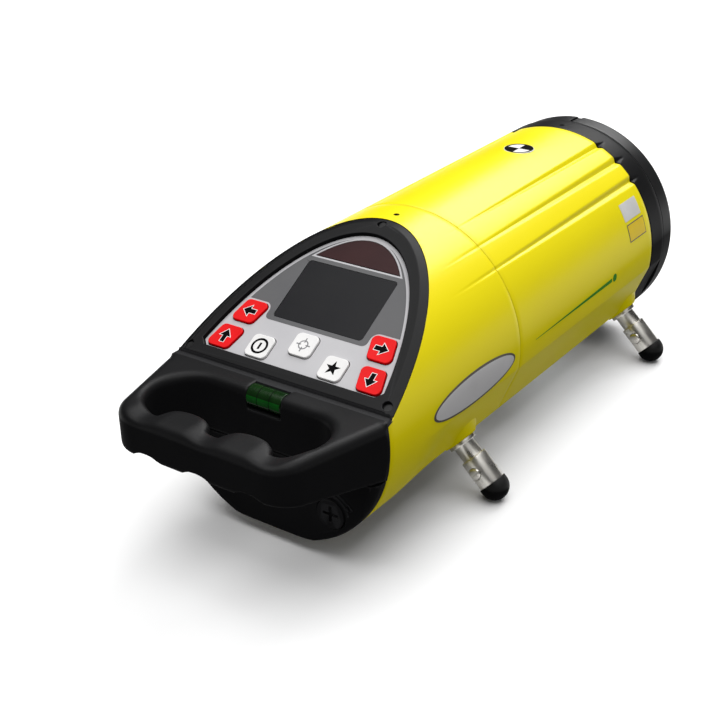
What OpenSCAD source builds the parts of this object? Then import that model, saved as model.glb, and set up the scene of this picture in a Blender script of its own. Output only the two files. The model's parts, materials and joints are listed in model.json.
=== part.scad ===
// Pipe laser: a round housing on four screwed-in legs, with a sloped keypad panel, a rear handle,
// a battery pack that slides out under the handle and a laser tube in a two-axis gimbal.
// The beam leaves towards +Y. The origin is on the floor, under the middle of the length.

/* [Housing] */
// Outer radius of the round housing
body_r = 48; // [44:0.5:54]
// Thickness of the housing's wall
wall = 3; // [2.6:0.1:3.4]
// Length of the front housing, from the seam to the collar
front_len = 114.2; // [108:0.2:140]
// Length of the rear housing's top, from the seam to the panel
rear_top_len = 16.382; // [14:0.001:24]
// Depth of the belly's flat below the round outline
belly_in = 4; // [3:0.1:5]
// Depth of the lower side flats below the round outline
side_flat_in = 1.6; // [1:0.1:2.4]
// Depth of the leg seat flats below the round outline
seat_flat_in = 1.5; // [1:0.1:2.2]
// Depth of the side grooves where they meet the collar
groove_depth = 1.6; // [1:0.1:2.3]

/* [Beam end] */
// Length of the front collar
collar_len = 12.5; // [12:0.5:18]
// Length of the front ring
ring_len = 11; // [8:0.5:16]
// Step of the front ring below the housing's radius
ring_step = 0.7; // [0:0.1:2]
// Rounding of the front ring's outer edge
ring_round = 4; // [2:0.5:5]
// Radial width of the front ring
ring_w = 9.5; // [9:0.1:12]
// Thickness of the beam window's glass
window_t = 4; // [3:0.5:5]

/* [Panel] */
// Tilt of the panel from the floor, in degrees
panel_tilt = 30; // [28:0.5:33]
// Height of the panel's foot above the middle line, as a share of the housing's radius
foot_share = 0.208333; // [0.19:0.001:0.225]
// Width of the frame beside the overlay
frame_w = 6.5; // [6:0.1:7]
// Width of the frame above the overlay
frame_top_w = 8.8; // [8:0.1:9.4]
// Height of the frame's rim over the overlay
rim_h = 1.6; // [1:0.1:2.4]
// Clear width of the overlay beside the display's upper corners
display_side = 4.8; // [4.4:0.1:7]
// Height of the infrared window, as a share of the slope's length
ir_h_share = 0.15; // [0.12:0.001:0.16]
// Gap between the display window and the infrared window
display_gap = 2.8; // [2:0.1:5]
// Clear gap between the arrow keys of one side
arrow_gap = 2.7; // [2.4:0.1:4]
// Difference between the widths of the arrow keys and the white keys
key_less = 0.4; // [0:0.1:1]
// Height of the keys above the overlay
key_rise = 1.2; // [0.8:0.1:2]
// Travel of the keys
key_travel = 0.6; // [0.3:0.1:0.7]

/* [Handle] */
// Length of the handle behind the rear housing
handle_len = 42.6; // [41:0.2:50]
// Radius of the handle's rear corners in plan
handle_corner_r = 12; // [10:0.5:13]
// Rounding of the handle's upper edges
handle_round = 3.5; // [2:0.5:4]
// Thickness of the handle's rear bar
bar_t = 8; // [7:0.5:11]
// Height of the ridges between the finger grooves
ridge_h = 4.5; // [2:0.5:5]
// Radius of the level vial
vial_r = 3.9; // [3:0.1:4]

/* [Battery] */
// Gap between the battery bay and the belly
bay_gap = 2.5; // [2:0.1:5]
// Radius of the lock knob
lock_r = 5.6; // [4.5:0.1:6]

/* [Legs] */
// Tilt of the legs from the vertical, in degrees
leg_tilt = 45; // [42:1:48]
// Length of a leg from its seat on the housing to the middle of its ball foot
leg_out = 20.7; // [18:0.1:60]
// Distance of a leg's line from the middle line
leg_off = 6.8; // [4:0.1:8]
// Radius of a leg's shank
leg_shank_r = 4.2; // [3:0.1:4.5]
// Radius of a leg's lower sleeve
leg_sleeve_r = 5.2; // [4.6:0.1:5.5]
// Radius of the rubber ball foot
foot_r = 5.6; // [5:0.1:6.5]
// Radius of the screw head in a leg's sleeve
leg_screw_r = 2.3; // [1.5:0.1:2.6]

/* [Gimbal] */
// Radius of the laser tube
tube_r = 12; // [9:0.5:13]
// Length of the laser tube
tube_len = 92; // [80:1:96]
// Radius of the gimbal's pins
pin_r = 4; // [3:0.1:5]
// Distance of the gimbal ahead of the seam
gimbal_out = 40.2; // [38:0.2:50]

/* [Hidden] */
$fn = 64;

// Overrun of every cut
over = 1;
// Clearance between pieces that are pushed together
fit_gap = 0.15;
// Clearance between pieces that move past each other
run_gap = 0.3;
// Radial clearance of a pin in its bore
pin_gap = 0.05;

// Colours
yellow = [0.93, 0.86, 0.12];
black = [0.11, 0.11, 0.12];
grey = [0.72, 0.73, 0.74];
steel = [0.75, 0.75, 0.76];
green = [0.1, 0.42, 0.16];
red = [0.9, 0.14, 0.14];
white = [0.95, 0.95, 0.95];
dark = [0.17, 0.17, 0.19];
copper = [0.8, 0.6, 0.25];

// Sizes that follow the housing's radius
belly_drop = body_r - belly_in;
side_flat_d = body_r - side_flat_in;
seat_flat_d = body_r - seat_flat_in;
ring_r = body_r - ring_step;
ring_bore = ring_r - ring_w;
panel_foot_z = foot_share * body_r;

// Slope of the panel, from its foot to the top of the housing
panel_foot_in = 3.5;
slope_len = (body_r - panel_foot_z) / sin(panel_tilt);
rear_len = panel_foot_in + slope_len * cos(panel_tilt) + rear_top_len;

// Stations along the length
ring_gap = 1;
ring_gap_depth = 2.5;
cap_len = 6.1;
total_len = ring_len + ring_gap + collar_len + front_len + rear_len + handle_len;
y_front = total_len / 2;
y_ring = y_front - ring_len;
y_collar = y_ring - ring_gap - collar_len;
y_seam = y_collar - front_len;
y_rear = y_seam - rear_len;
y_cap = y_rear - cap_len;
y_end = -total_len / 2;

// Legs
leg_front_in = 4.5;
leg_rear_in = 25.7;
y_leg_front = y_collar - leg_front_in;
y_leg_rear = y_seam - leg_rear_in;
boss_rise = 0.8;
leg_seat = seat_flat_d + boss_rise;
leg_reach = leg_seat + leg_out;
axis_h = leg_reach * cos(leg_tilt) - leg_off * sin(leg_tilt) + foot_r;
boss_r = 6.5;
boss_flare = 2.5;
boss_flare_h = 2.8;
boss_depth = 5.8;
stud_r = 3.5;
stud_len = 5;
flange_r = 5.6;
flange_t = 1.5;
foot_shoulder = 1.5;
leg_sleeve_end = leg_reach - foot_shoulder;
leg_sleeve_len = 11.7;
leg_sleeve_start = leg_sleeve_end - leg_sleeve_len;
leg_screw_in = 5.4;
leg_screw_sink = 1.5;
leg_screw_proud = 0.3;
leg_screw_shank_r = 1.2;
leg_screw_len = 3.5;
leg_slot_w = 0.7;
leg_slot_depth = 0.6;
peg_r = 2.5;
peg_len = 4;

// Lower flats of the housing, in degrees below the horizontal
side_flat_angle = 21;
seat_flat_angle = 45;

// Side grooves: direction from the horizontal, and the start ahead of the rear cap
groove_angles = [65, 52.5, 40];
groove_starts = [74.6, 62.3, 53.3];
groove_half_angle = 55;
groove_h = 6;
groove_fade = 7;
groove_lead = 10;

// Spigot between the housings and its seal
spigot_len = 8;
spigot_t = 2.2;
seal_in = 3;
seal_w = 2;
seal_t = 1.2;

// Sighting mark and small marks on top
mark_r = 6.3;
mark_t = 0.6;
mark_in = 33.6;
dot_r = 1.1;
dot_depth = 1.2;
dot_in = 4.3;
rear_dot_in = 10.4;

// Beam end
window_seal_t = 1;
y_glass = y_ring - ring_gap - window_t;
y_window_seat = y_glass - window_seal_t;
retainer_t = 2;
retainer_gap = 0.4;
retainer_w = 3.4;
retainer_r = ring_bore - retainer_gap;
aperture_r = retainer_r - retainer_w;
window_lap = 0.2;
window_r = ring_bore + window_lap;
ring_notch_w = 3;
ring_notch_h = 1.2;
front_screw_r = 2.6;
front_screw_head = 2;
front_screw_shank_r = 1.5;
front_screw_len = 12;
front_screw_in = 5.1;
front_screw_ring = ring_r - front_screw_in;
front_screw_count = 6;

// Panel: v runs up the slope from its foot, w stands square to it
y_foot = y_rear + panel_foot_in;
panel_mid_v = -panel_foot_z / sin(panel_tilt);
panel_ratio = 1 / sin(panel_tilt);
panel_steps = 72;
panel_low_v = 0.15;
bevel_w = 3.2;
overlay_t = 0.8;
overlay_corner = 2.8;
plug_corner = 6;
plug_margin = 1.1;
floor_t = 3.2;
floor_w = -overlay_t - floor_t;
ir_margin = 2.2;
ir_low_v = slope_len - frame_top_w - ir_margin - ir_h_share * slope_len;
display_low_share = 0.318421;
display_low_v = display_low_share * slope_len;
display_h = ir_low_v - display_gap - display_low_v;
display_mid_v = display_low_v + display_h / 2;
display_w = 2 * (arch_half(frame_w, frame_top_w, display_mid_v + display_h / 2) - display_side);
display_corner_r = 1.5;
ledge = 1.2;
ir_side_margin = 4.6;
board_t = 1.6;
lcd_t = 3.5;
lcd_margin = 1.8;
board_w = floor_w - lcd_t;
board_margin = 3.3;
board_corner = 8;
board_low_v = 2;
post_r = 2.2;
post_gap = 0.6;
post_x = display_w / 2 + lcd_margin + post_r + post_gap;
post_v_share = 0.434211;
post_v = post_v_share * slope_len;
low_post_x = 8;
low_post_v_share = 0.073684;
low_post_v = low_post_v_share * slope_len;
ir_sensor_w = 8;
ir_sensor_h = 5;
ir_sensor_t = 2.8;
ir_sensor_in = 5.4;
ir_sensor_v = ir_low_v + ir_sensor_in;
bezel_hole_r = 1.7;
bezel_screw_in = 4.8;
bezel_screw_x = body_r - bezel_screw_in;
bezel_screw_v = 2.9;
bezel_top_in = 3.4;
bezel_top_v = slope_len - bezel_top_in;
screw_boss_r = 3.1;
screw_boss_len = 8;
screw_head_r = 1.6;
screw_head_t = 1.6;
screw_sink = 1.4;
screw_shank_r = 1.1;
screw_len = 7;

// Keys: places on the panel and their stems
key_corner_r = 2;
key_steps = 6;
key_drop = 0.5;
stem_r = 2.4;
stem_flange_r = 3.8;
stem_flange_t = 0.7;
overlay_half = body_r - frame_w;
key_x_shares = [0.385542, 0.768675, 0.696386];
white_key_x = key_x_shares[0] * overlay_half;
low_arrow_x = key_x_shares[1] * overlay_half;
high_arrow_x = key_x_shares[2] * overlay_half;
key_row_shares = [0.138158, 0.209211, 0.302632];
low_row_v = key_row_shares[0] * slope_len;
middle_row_v = key_row_shares[1] * slope_len;
high_row_v = key_row_shares[2] * slope_len;
arrow_key_w = high_row_v - low_row_v - arrow_gap;
key_w = arrow_key_w - key_less;
overlay_low_in = 1;
overlay_low_v = low_row_v - arrow_key_w / 2 - overlay_low_in;
arrow_lean_share = 0.27;
dome_r = 2.5;
dome_gap = 0.4;
KEYS = [
    [-high_arrow_x, high_row_v, arrow_key_w, arrow_lean_share],
    [high_arrow_x, high_row_v, arrow_key_w, -arrow_lean_share],
    [-low_arrow_x, low_row_v, arrow_key_w, arrow_lean_share],
    [low_arrow_x, low_row_v, arrow_key_w, -arrow_lean_share],
    [-white_key_x, low_row_v, key_w, 0],
    [white_key_x, low_row_v, key_w, 0],
    [0, middle_row_v, key_w, 0]
];
key_foot_w = floor_w - run_gap - stem_flange_t;
dome_top_w = key_foot_w - key_travel - dome_gap;

// Handle
handle_taper = 15;
handle_root_out = 0.2;
handle_root_x = body_r + handle_root_out;
handle_corner_x = handle_root_x
    - (handle_corner_r + (handle_len - handle_corner_r) * sin(handle_taper)) / cos(handle_taper);
handle_corner_y = y_end + handle_corner_r;
handle_low_z = -5.8;
handle_low_tilt = 8.25;
handle_low_round = 2.5;
round_steps = 6;
corner_steps = 10;
hole_flare = 3;
hole_steps = 20;
ridge_steps = 24;
hole_front_in = 0.5;
hole_wall = 6.68;
hole_r = (handle_len - cap_len - hole_front_in - bar_t) / 2;
hole_mid_in = cap_len + hole_front_in + hole_r;
hole_mid_x = handle_root_x - hole_mid_in * tan(handle_taper) - hole_r - hole_wall;
hole_y = y_cap - hole_front_in - hole_r;
scallop_r = 10;
scallop_depth = 2.4;
handle_plug_len = 3.8;
handle_plug_z0 = -10.2;
handle_plug_z1 = 5;
handle_gap = 0.15;
vial_len = 15;
vial_seat_gap = 0.2;
vial_in = 3.7;
vial_z = panel_foot_z - vial_r;
split_z = handle_low(y_rear) - run_gap;

// Battery pack
cell_room = 15.7;
cell_len = rear_len - cell_room;
case_gap = 0.2;
case_wall = 0.8;
bay_wall = 1;
pack_gap = 1.7;
pack_room = belly_drop - wall - bay_gap + split_z - pack_gap;
case_r = (pack_room - run_gap - bay_wall) / 2;
bay_r = case_r + run_gap + bay_wall;
cell_r = case_r - case_gap - case_wall;
cell_gap = 0.4;
cell_x = cell_r + cell_gap / 2;
cell_z = bay_gap + wall - belly_drop + bay_r;
case_start = 8;
case_end_t = 1.4;
neck_h = 8;
bay_end_gap = 1;
bay_end_t = 1.4;
bay_flange_t = 1.5;
bay_flange_in = 4;
cover_plug_len = 4;
cover_round = 3;
contact_r = 4;
contact_t = 0.6;
spring_r = 2.5;
y_case = y_rear + case_start;
y_cells = y_case + case_end_t;
y_case_end = y_cells + cell_len + case_end_t;
y_bay_end = y_case_end + contact_t + bay_end_gap;
bay_top_z = cell_z + bay_r;
main_board_w = 56;
main_board_room = 33.7;
main_board_len = rear_len - main_board_room;
main_post_r = 2.2;
main_post_h = 2.4;
main_post_in = 6;

// Battery lock
lock_in = 6.9;
lock_angle = 47;
lock_x = (seat_flat_d - lock_in) * cos(lock_angle);
lock_z = -(seat_flat_d - lock_in) * sin(lock_angle);
neck_gap = 9;
neck_w = lock_x - neck_gap;
lock_sink = 2;
lock_proud = 0.5;
lock_slot_w = 1.2;
lock_slot_len = 6.4;
lock_slot_depth = 1;
lock_shaft_r = 2.5;
cam_reach = 5;
cam_w = 4;
cam_t = 2;
cam_gap = 0.3;
cam_pocket_w = 7;
cam_pocket_depth = 1.6;
cam_angle = atan2(lock_z, lock_x);

// Gimbal
y_gimbal = y_seam + gimbal_out;
base_w = 32;
base_len = 46;
base_t = 3.5;
post_base_r = 9;
hub_h = 8;
hub_share = 0.541667;
hub_z = -hub_share * body_r;
hub_r = 9;
yoke_gap = 0.3;
yoke_arm_t = 5;
yoke_in = 1.5;
yoke_arm_len = 14;
yoke_w = 2 * (tube_r + yoke_in + yoke_arm_t);
tube_back = 34;
tube_wall = 1.6;
lens_t = 5;
lens_lip = 1.2;
diode_r = 6;
diode_len = 12;
motor_gap = 1.5;
motor_r = (belly_drop - wall - base_t - motor_gap + hub_z) / 2;
motor_len = 16;
motor_flange = 2;
motor_screw_r = 1.5;
motor_screw_len = 12;
line_motor_gap = 2;
line_motor_x = yoke_w / 2 + line_motor_gap + motor_r;
line_motor_share = 0.45;
line_motor_z = -line_motor_share * body_r;
line_bracket_t = 3;
tail_w = 16;
tail_t = 3;
tail_gap = 1.5;
tail_len = post_base_r + tail_gap + 2 * motor_r;

// Frame with the housing's middle line on the Y axis
module placed() {
    translate([0, 0, axis_h]) children();
}

// Flat outline in X and Z, drawn out along Y
module span_y(y0, y1) {
    translate([0, y1, 0]) rotate([90, 0, 0]) linear_extrude(height = y1 - y0) children();
}

// Half outline, as radius and Y, turned about the middle line
module revolve_y() {
    rotate([-90, 0, 0]) rotate_extrude() children();
}

// Cylinder along Y
module rod_y(y0, y1, r) {
    translate([0, y0, 0]) rotate([-90, 0, 0]) cylinder(h = y1 - y0, r = r);
}

// Frame of the panel: Y up the slope, Z square to it
module panel() {
    translate([0, y_foot, panel_foot_z]) rotate([panel_tilt, 0, 0]) children();
}

// Frame of a leg: Z outwards along the leg
module leg_frame(side, y) {
    translate([side * leg_off * cos(leg_tilt), y, leg_off * sin(leg_tilt)])
        rotate([0, side * (180 - leg_tilt), 0]) children();
}

module rounded_square(w, h, r) {
    square([w - 2 * r, h], center = true);
    square([w, h - 2 * r], center = true);
    for (x = [-1, 1], y = [-1, 1]) {
        translate([x * (w / 2 - r), y * (h / 2 - r)]) circle(r = r);
    }
}

// Cross section of the housing: a circle with lower flats, drawn in by an inset
module housing_outline(inset) {
    difference() {
        circle(r = body_r - inset);
        for (side = [-1, 1], flat = [[side_flat_angle, side_flat_d], [seat_flat_angle, seat_flat_d]]) {
            mirror([side > 0 ? 0 : 1, 0]) rotate(-flat[0])
                translate([flat[1] - inset, -body_r]) square([body_r, 2 * body_r]);
        }
        translate([-body_r, inset - belly_drop - body_r]) square([2 * body_r, body_r]);
    }
}

// Grooves that deepen from their rear start to the collar
module side_grooves() {
    for (side = [-1, 1], i = [0 : len(groove_angles) - 1]) {
        y0 = y_rear + groove_starts[i];
        run = y_collar - y0;
        groove(side * (90 - groove_angles[i]), y0, run + over, atan(groove_depth / run));
    }
}

// Short ends of the grooves that rise again on the collar
module collar_grooves() {
    for (side = [-1, 1], angle = groove_angles) {
        groove(side * (90 - angle), y_collar + groove_fade, -groove_fade - over,
            -atan(groove_depth / groove_fade));
    }
}

module groove(turn, y0, run, fall) {
    w = groove_h * tan(groove_half_angle);
    rotate([0, turn, 0]) translate([0, y0, body_r]) rotate([-fall, 0, 0])
        mirror([0, run < 0 ? 1 : 0, 0]) rotate([-90, 0, 0]) translate([0, 0, -groove_lead])
            linear_extrude(height = groove_lead + abs(run) + over)
                polygon([[0, 0], [w, -groove_h], [-w, -groove_h]]);
}

// Raised seat for a leg, on the housing's lower side
module leg_boss(side, y) {
    leg_frame(side, y) {
        translate([0, 0, leg_seat - boss_depth]) cylinder(h = boss_depth, r = boss_r);
        translate([0, 0, leg_seat - boss_flare_h])
            cylinder(h = boss_flare_h, r1 = boss_r + boss_flare, r2 = boss_r);
    }
}

module leg_socket(side, y) {
    leg_frame(side, y) translate([0, 0, leg_seat - stud_len - fit_gap])
        cylinder(h = stud_len + fit_gap + over, r = stud_r + fit_gap);
}

module front_housing() {
    color(yellow) placed() difference() {
        union() {
            difference() {
                span_y(y_seam, y_collar) housing_outline(0);
                span_y(y_seam - over, y_collar + over) housing_outline(wall);
            }
            intersection() {
                for (side = [-1, 1]) leg_boss(side, y_leg_front);
                rod_y(y_seam, y_collar, 2 * body_r);
            }
        }
        for (side = [-1, 1]) leg_socket(side, y_leg_front);
        side_grooves();
        translate([0, y_collar - mark_in, body_r - mark_t])
            cylinder(h = mark_t + over, r = mark_r + fit_gap);
    }
}

module rear_housing() {
    color(yellow) placed() difference() {
        union() {
            difference() {
                union() {
                    span_y(y_rear, y_seam) housing_outline(0);
                    span_y(y_seam - spigot_t, y_seam + spigot_len) housing_outline(wall + fit_gap);
                }
                span_y(y_rear - over, y_seam + spigot_len + over)
                    housing_outline(wall + fit_gap + spigot_t);
                span_y(y_rear - over, y_seam - spigot_t) housing_outline(wall);
                span_y(y_seam + seal_in, y_seam + seal_in + seal_w) seal_outline();
            }
            for (side = [-1, 1]) leg_boss(side, y_leg_rear);
            intersection() {
                span_y(y_rear, y_seam) housing_outline(wall / 2);
                panel() for (p = bezel_screw_places()) {
                    translate([p[0], p[1], -screw_boss_len]) cylinder(h = screw_boss_len, r = screw_boss_r);
                }
            }
        }
        panel() translate([-body_r, -body_r, 0]) cube([2 * body_r, total_len, total_len]);
        panel() for (p = bezel_screw_places()) {
            translate([p[0], p[1], -screw_len]) cylinder(h = screw_len + over, r = screw_shank_r + fit_gap);
        }
        for (side = [-1, 1]) leg_socket(side, y_leg_rear);
        side_grooves();
        translate([0, y_seam - rear_dot_in, body_r - dot_depth]) cylinder(h = dot_depth + over, r = dot_r);
        lock_frame() rotate([0, -cam_angle, 0]) cam_pocket();
    }
}

module seal_outline() {
    difference() {
        housing_outline(wall + fit_gap);
        housing_outline(wall + fit_gap + seal_t);
    }
}

module housing_seal() {
    color(dark) placed() span_y(y_seam + seal_in, y_seam + seal_in + seal_w) seal_outline();
}

module front_collar() {
    color(black) placed() difference() {
        union() {
            span_y(y_collar, y_ring - ring_gap) housing_outline(0);
            span_y(y_collar - spigot_len, y_collar) housing_outline(wall + fit_gap);
        }
        rod_y(y_collar - spigot_len - over, y_front, aperture_r);
        rod_y(y_window_seat, y_front, window_r + fit_gap);
        intersection() {
            for (side = [-1, 1]) leg_frame(side, y_leg_front)
                translate([0, 0, leg_seat - boss_depth - run_gap])
                    cylinder(h = boss_depth, r = boss_r + boss_flare);
            rod_y(y_collar - 2 * spigot_len, y_collar, body_r);
        }
        collar_grooves();
        translate([0, y_collar + dot_in, body_r - dot_depth]) cylinder(h = dot_depth + over, r = dot_r);
        front_screw_places() rod_y(y_ring - front_screw_len, y_ring, front_screw_shank_r + fit_gap);
    }
}

module front_screw_places() {
    for (i = [0 : front_screw_count - 1]) {
        rotate([0, (i + 1 / 2) * 360 / front_screw_count, 0])
            translate([front_screw_ring, 0, 0]) children();
    }
}

module front_ring() {
    color(dark) placed() difference() {
        revolve_y() {
            translate([ring_bore, y_ring - ring_gap])
                square([ring_r - ring_gap_depth - ring_bore, ring_gap]);
            translate([ring_bore, y_ring]) square([ring_r - ring_bore, ring_len - ring_round]);
            translate([ring_bore, y_ring]) square([ring_r - ring_round - ring_bore, ring_len]);
            translate([ring_r - ring_round, y_front - ring_round]) circle(r = ring_round);
        }
        translate([-ring_notch_w / 2, y_ring, ring_r - ring_notch_h])
            cube([ring_notch_w, ring_len + over, ring_notch_h + over]);
        front_screw_places() {
            rod_y(y_ring - ring_gap - over, y_front + over, front_screw_shank_r + fit_gap);
            rod_y(y_front - ring_round, y_front + over, front_screw_r + fit_gap);
        }
    }
}

module front_screws() {
    color(steel) placed() front_screw_places() {
        rod_y(y_front - ring_round, y_front - ring_round + front_screw_head, front_screw_r);
        rod_y(y_ring - front_screw_len + over, y_front - ring_round, front_screw_shank_r);
    }
}

module window_seal() {
    color(dark) placed() revolve_y()
        translate([aperture_r, y_window_seat]) square([window_r - aperture_r, window_seal_t]);
}

module window_glass() {
    color([0.7, 0.8, 0.82, 0.5]) placed() rod_y(y_glass, y_glass + window_t, window_r);
}

module window_retainer() {
    color(steel) placed() revolve_y()
        translate([aperture_r, y_glass + window_t]) square([retainer_r - aperture_r, retainer_t]);
}

// Arch of the panel: an ellipse drawn in at its sides and its top
function arch(side_in, top_in) = [
    for (i = [0 : panel_steps])
        let (a = 180 * i / panel_steps)
        [(body_r - side_in) * cos(a), panel_mid_v + (body_r * panel_ratio - top_in) * sin(a)]
];

// Half width of an arch at a height on the slope
function arch_half(side_in, top_in, v) =
    (body_r - side_in) * sqrt(1 - pow((v - panel_mid_v) / (body_r * panel_ratio - top_in), 2));

// Arch cut off straight at its foot, with its two lower corners taken off
module arch_shape(side_in, top_in, low_v, corner) {
    half = arch_half(side_in, top_in, low_v);
    intersection() {
        polygon(arch(side_in, top_in));
        polygon([
            [corner - half, low_v], [half - corner, low_v],
            [half + body_r, low_v + corner + body_r], [half + body_r, total_len],
            [-half - body_r, total_len], [-half - body_r, low_v + corner + body_r]
        ]);
    }
}

// Flat arch piece between two heights over the panel
module arch_plate(side_in, top_in, low_v, corner, w0, w1) {
    translate([0, 0, w0]) linear_extrude(height = w1 - w0) arch_shape(side_in, top_in, low_v, corner);
}

// Infrared window at the top of the arch, drawn in by an inset
module ir_plate(inset, w0, w1) {
    arch_plate(frame_w + ir_side_margin + inset, frame_top_w + ir_margin + inset, ir_low_v + inset, 0,
        w0, w1);
}

function bezel_screw_places() = [
    [-bezel_screw_x, bezel_screw_v], [bezel_screw_x, bezel_screw_v], [0, bezel_top_v]
];

module key_place(i) {
    translate([KEYS[i][0], KEYS[i][1], 0]) children();
}

module panel_bezel() {
    color(black) placed() panel() difference() {
        union() {
            hull() {
                arch_plate(fit_gap, fit_gap, panel_low_v, 0, 0, rim_h / panel_steps);
                arch_plate(bevel_w, bevel_w, panel_low_v, 0, 0, rim_h);
            }
            arch_plate(frame_w - plug_margin, frame_top_w - plug_margin, panel_low_v, plug_corner,
                floor_w, over / 2);
            for (x = [-1, 1]) {
                translate([x * post_x, post_v, board_w]) cylinder(h = -board_w - overlay_t, r = post_r);
                translate([x * low_post_x, low_post_v, board_w])
                    cylinder(h = -board_w - overlay_t, r = post_r);
            }
        }
        arch_plate(frame_w - fit_gap, frame_top_w - fit_gap, overlay_low_v - fit_gap, overlay_corner,
            -overlay_t, rim_h + over);
        translate([0, display_mid_v, floor_w - over]) linear_extrude(height = floor_t + 2 * over)
            square([display_w - 2 * ledge, display_h - 2 * ledge], center = true);
        ir_plate(ledge, floor_w - over, over);
        for (i = [0 : len(KEYS) - 1]) key_place(i) {
            translate([0, 0, floor_w - over]) cylinder(h = floor_t + 2 * over, r = stem_r + run_gap);
            translate([0, 0, -overlay_t - key_travel - key_drop])
                linear_extrude(height = key_travel + key_drop + over) key_shape(i, run_gap);
        }
        for (p = bezel_screw_places()) {
            translate([p[0], p[1], -over]) cylinder(h = rim_h + 2 * over, r = screw_shank_r + fit_gap);
            translate([p[0], p[1], rim_h - screw_sink]) cylinder(h = screw_sink + over, r = bezel_hole_r);
        }
    }
}

module bezel_screws() {
    color(steel) placed() panel() for (p = bezel_screw_places()) {
        translate([p[0], p[1], rim_h - screw_sink]) cylinder(h = screw_sink - run_gap, r = screw_head_r);
        translate([p[0], p[1], over - screw_len])
            cylinder(h = screw_len - over + rim_h - screw_sink, r = screw_shank_r);
    }
}

// Square with round corners whose sides lean with the arch, widened by an outset
module key_shape(i, outset) {
    half = KEYS[i][2] / 2 - key_corner_r;
    shift = half * KEYS[i][3];
    turn = atan(KEYS[i][3]);
    r = key_corner_r + outset;
    polygon(concat(
        arc([half - shift, -half], r, 270, 360 - turn, key_steps),
        arc([half + shift, half], r, -turn, 90, key_steps),
        arc([shift - half, half], r, 90, 180 - turn, key_steps),
        arc([-half - shift, -half], r, 180 - turn, 270, key_steps)
    ));
}

module keypad_overlay() {
    color(grey) placed() panel() difference() {
        arch_plate(frame_w, frame_top_w, overlay_low_v, overlay_corner, -overlay_t, 0);
        translate([0, display_mid_v, -overlay_t - over]) linear_extrude(height = overlay_t + 2 * over)
            rounded_square(display_w + 2 * fit_gap, display_h + 2 * fit_gap, display_corner_r);
        ir_plate(-fit_gap, -overlay_t - over, over);
        for (i = [0 : len(KEYS) - 1]) key_place(i)
            translate([0, 0, -overlay_t - over]) linear_extrude(height = overlay_t + 2 * over)
                key_shape(i, run_gap);
    }
}

module display_window() {
    color(dark) placed() panel() translate([0, display_mid_v, -overlay_t])
        linear_extrude(height = overlay_t) rounded_square(display_w, display_h, display_corner_r);
}

module ir_window() {
    color([0.3, 0.12, 0.14]) placed() panel() ir_plate(0, -overlay_t, 0);
}

module lcd_module() {
    color(dark) placed() panel() translate([0, display_mid_v, board_w]) linear_extrude(height = lcd_t)
        square([display_w + 2 * lcd_margin, display_h + 2 * lcd_margin], center = true);
}

module display_board() {
    color(green) placed() panel() {
        arch_plate(frame_w + board_margin, frame_top_w + board_margin, board_low_v, board_corner,
            board_w - board_t, board_w);
        for (i = [0 : len(KEYS) - 1]) key_place(i)
            translate([0, 0, board_w]) cylinder(h = dome_top_w - board_w, r = dome_r);
    }
}

module ir_receiver() {
    color(dark) placed() panel() translate([0, ir_sensor_v, board_w]) linear_extrude(height = ir_sensor_t)
        square([ir_sensor_w, ir_sensor_h], center = true);
}

// Key cap with a stem through the panel's floor and a flange that keeps it in
module key(i, tint) {
    color(tint) placed() panel() key_place(i) {
        translate([0, 0, -key_drop]) linear_extrude(height = key_rise + key_drop) key_shape(i, 0);
        translate([0, 0, key_foot_w]) cylinder(h = -key_drop - key_foot_w, r = stem_r);
        translate([0, 0, key_foot_w]) cylinder(h = stem_flange_t, r = stem_flange_r);
    }
}

// Points on an arc
function arc(mid, r, a0, a1, steps) = [
    for (i = [0 : steps]) let (a = a0 + (a1 - a0) * i / steps) [mid[0] + r * cos(a), mid[1] + r * sin(a)]
];

// Half width of the handle where it meets the rear housing
function handle_root(inset) = handle_corner_x
    + (handle_corner_r - inset + (y_rear - handle_corner_y) * sin(handle_taper)) / cos(handle_taper);

// Plan of the handle, drawn in by an inset
function handle_plan(inset) = concat(
    [[-handle_root(inset), y_rear]],
    arc([-handle_corner_x, handle_corner_y], handle_corner_r - inset,
        180 + handle_taper, 270, corner_steps),
    arc([handle_corner_x, handle_corner_y], handle_corner_r - inset,
        270, 360 - handle_taper, corner_steps),
    [[handle_root(inset), y_rear]]
);

// Plan of the finger hole, widened by an outset: round ends and a rear edge with two ridges
function hole_plan(outset) = concat(
    arc([-hole_mid_x, hole_y], hole_r + outset, 90, 270, hole_steps),
    [
        for (i = [1 : ridge_steps - 1])
            let (x = hole_mid_x * (2 * i / ridge_steps - 1))
            [x, hole_y - hole_r - outset + ridge_h * (1 - cos(360 * x / hole_mid_x)) / 2]
    ],
    arc([hole_mid_x, hole_y], hole_r + outset, 270, 450, hole_steps)
);

// Underside of the handle, which falls towards the housing
function handle_low(y) = handle_low_z - (y - y_end) * tan(handle_low_tilt);

// Solid through a stack of rings with equal counts of points
module loft(rings) {
    n = len(rings[0]);
    last = len(rings) - 1;
    sides = [
        for (k = [0 : last - 1], i = [0 : n - 1], half = [0, 1])
            let (j = (i + 1) % n)
            half == 0 ? [k * n + i, k * n + n + i, k * n + n + j] : [k * n + i, k * n + n + j, k * n + j]
    ];
    low = [for (i = [0 : n - 1]) i];
    high = [for (i = [0 : n - 1]) last * n + n - 1 - i];
    polyhedron([for (ring = rings) each ring], concat(sides, [low, high]));
}

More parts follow.
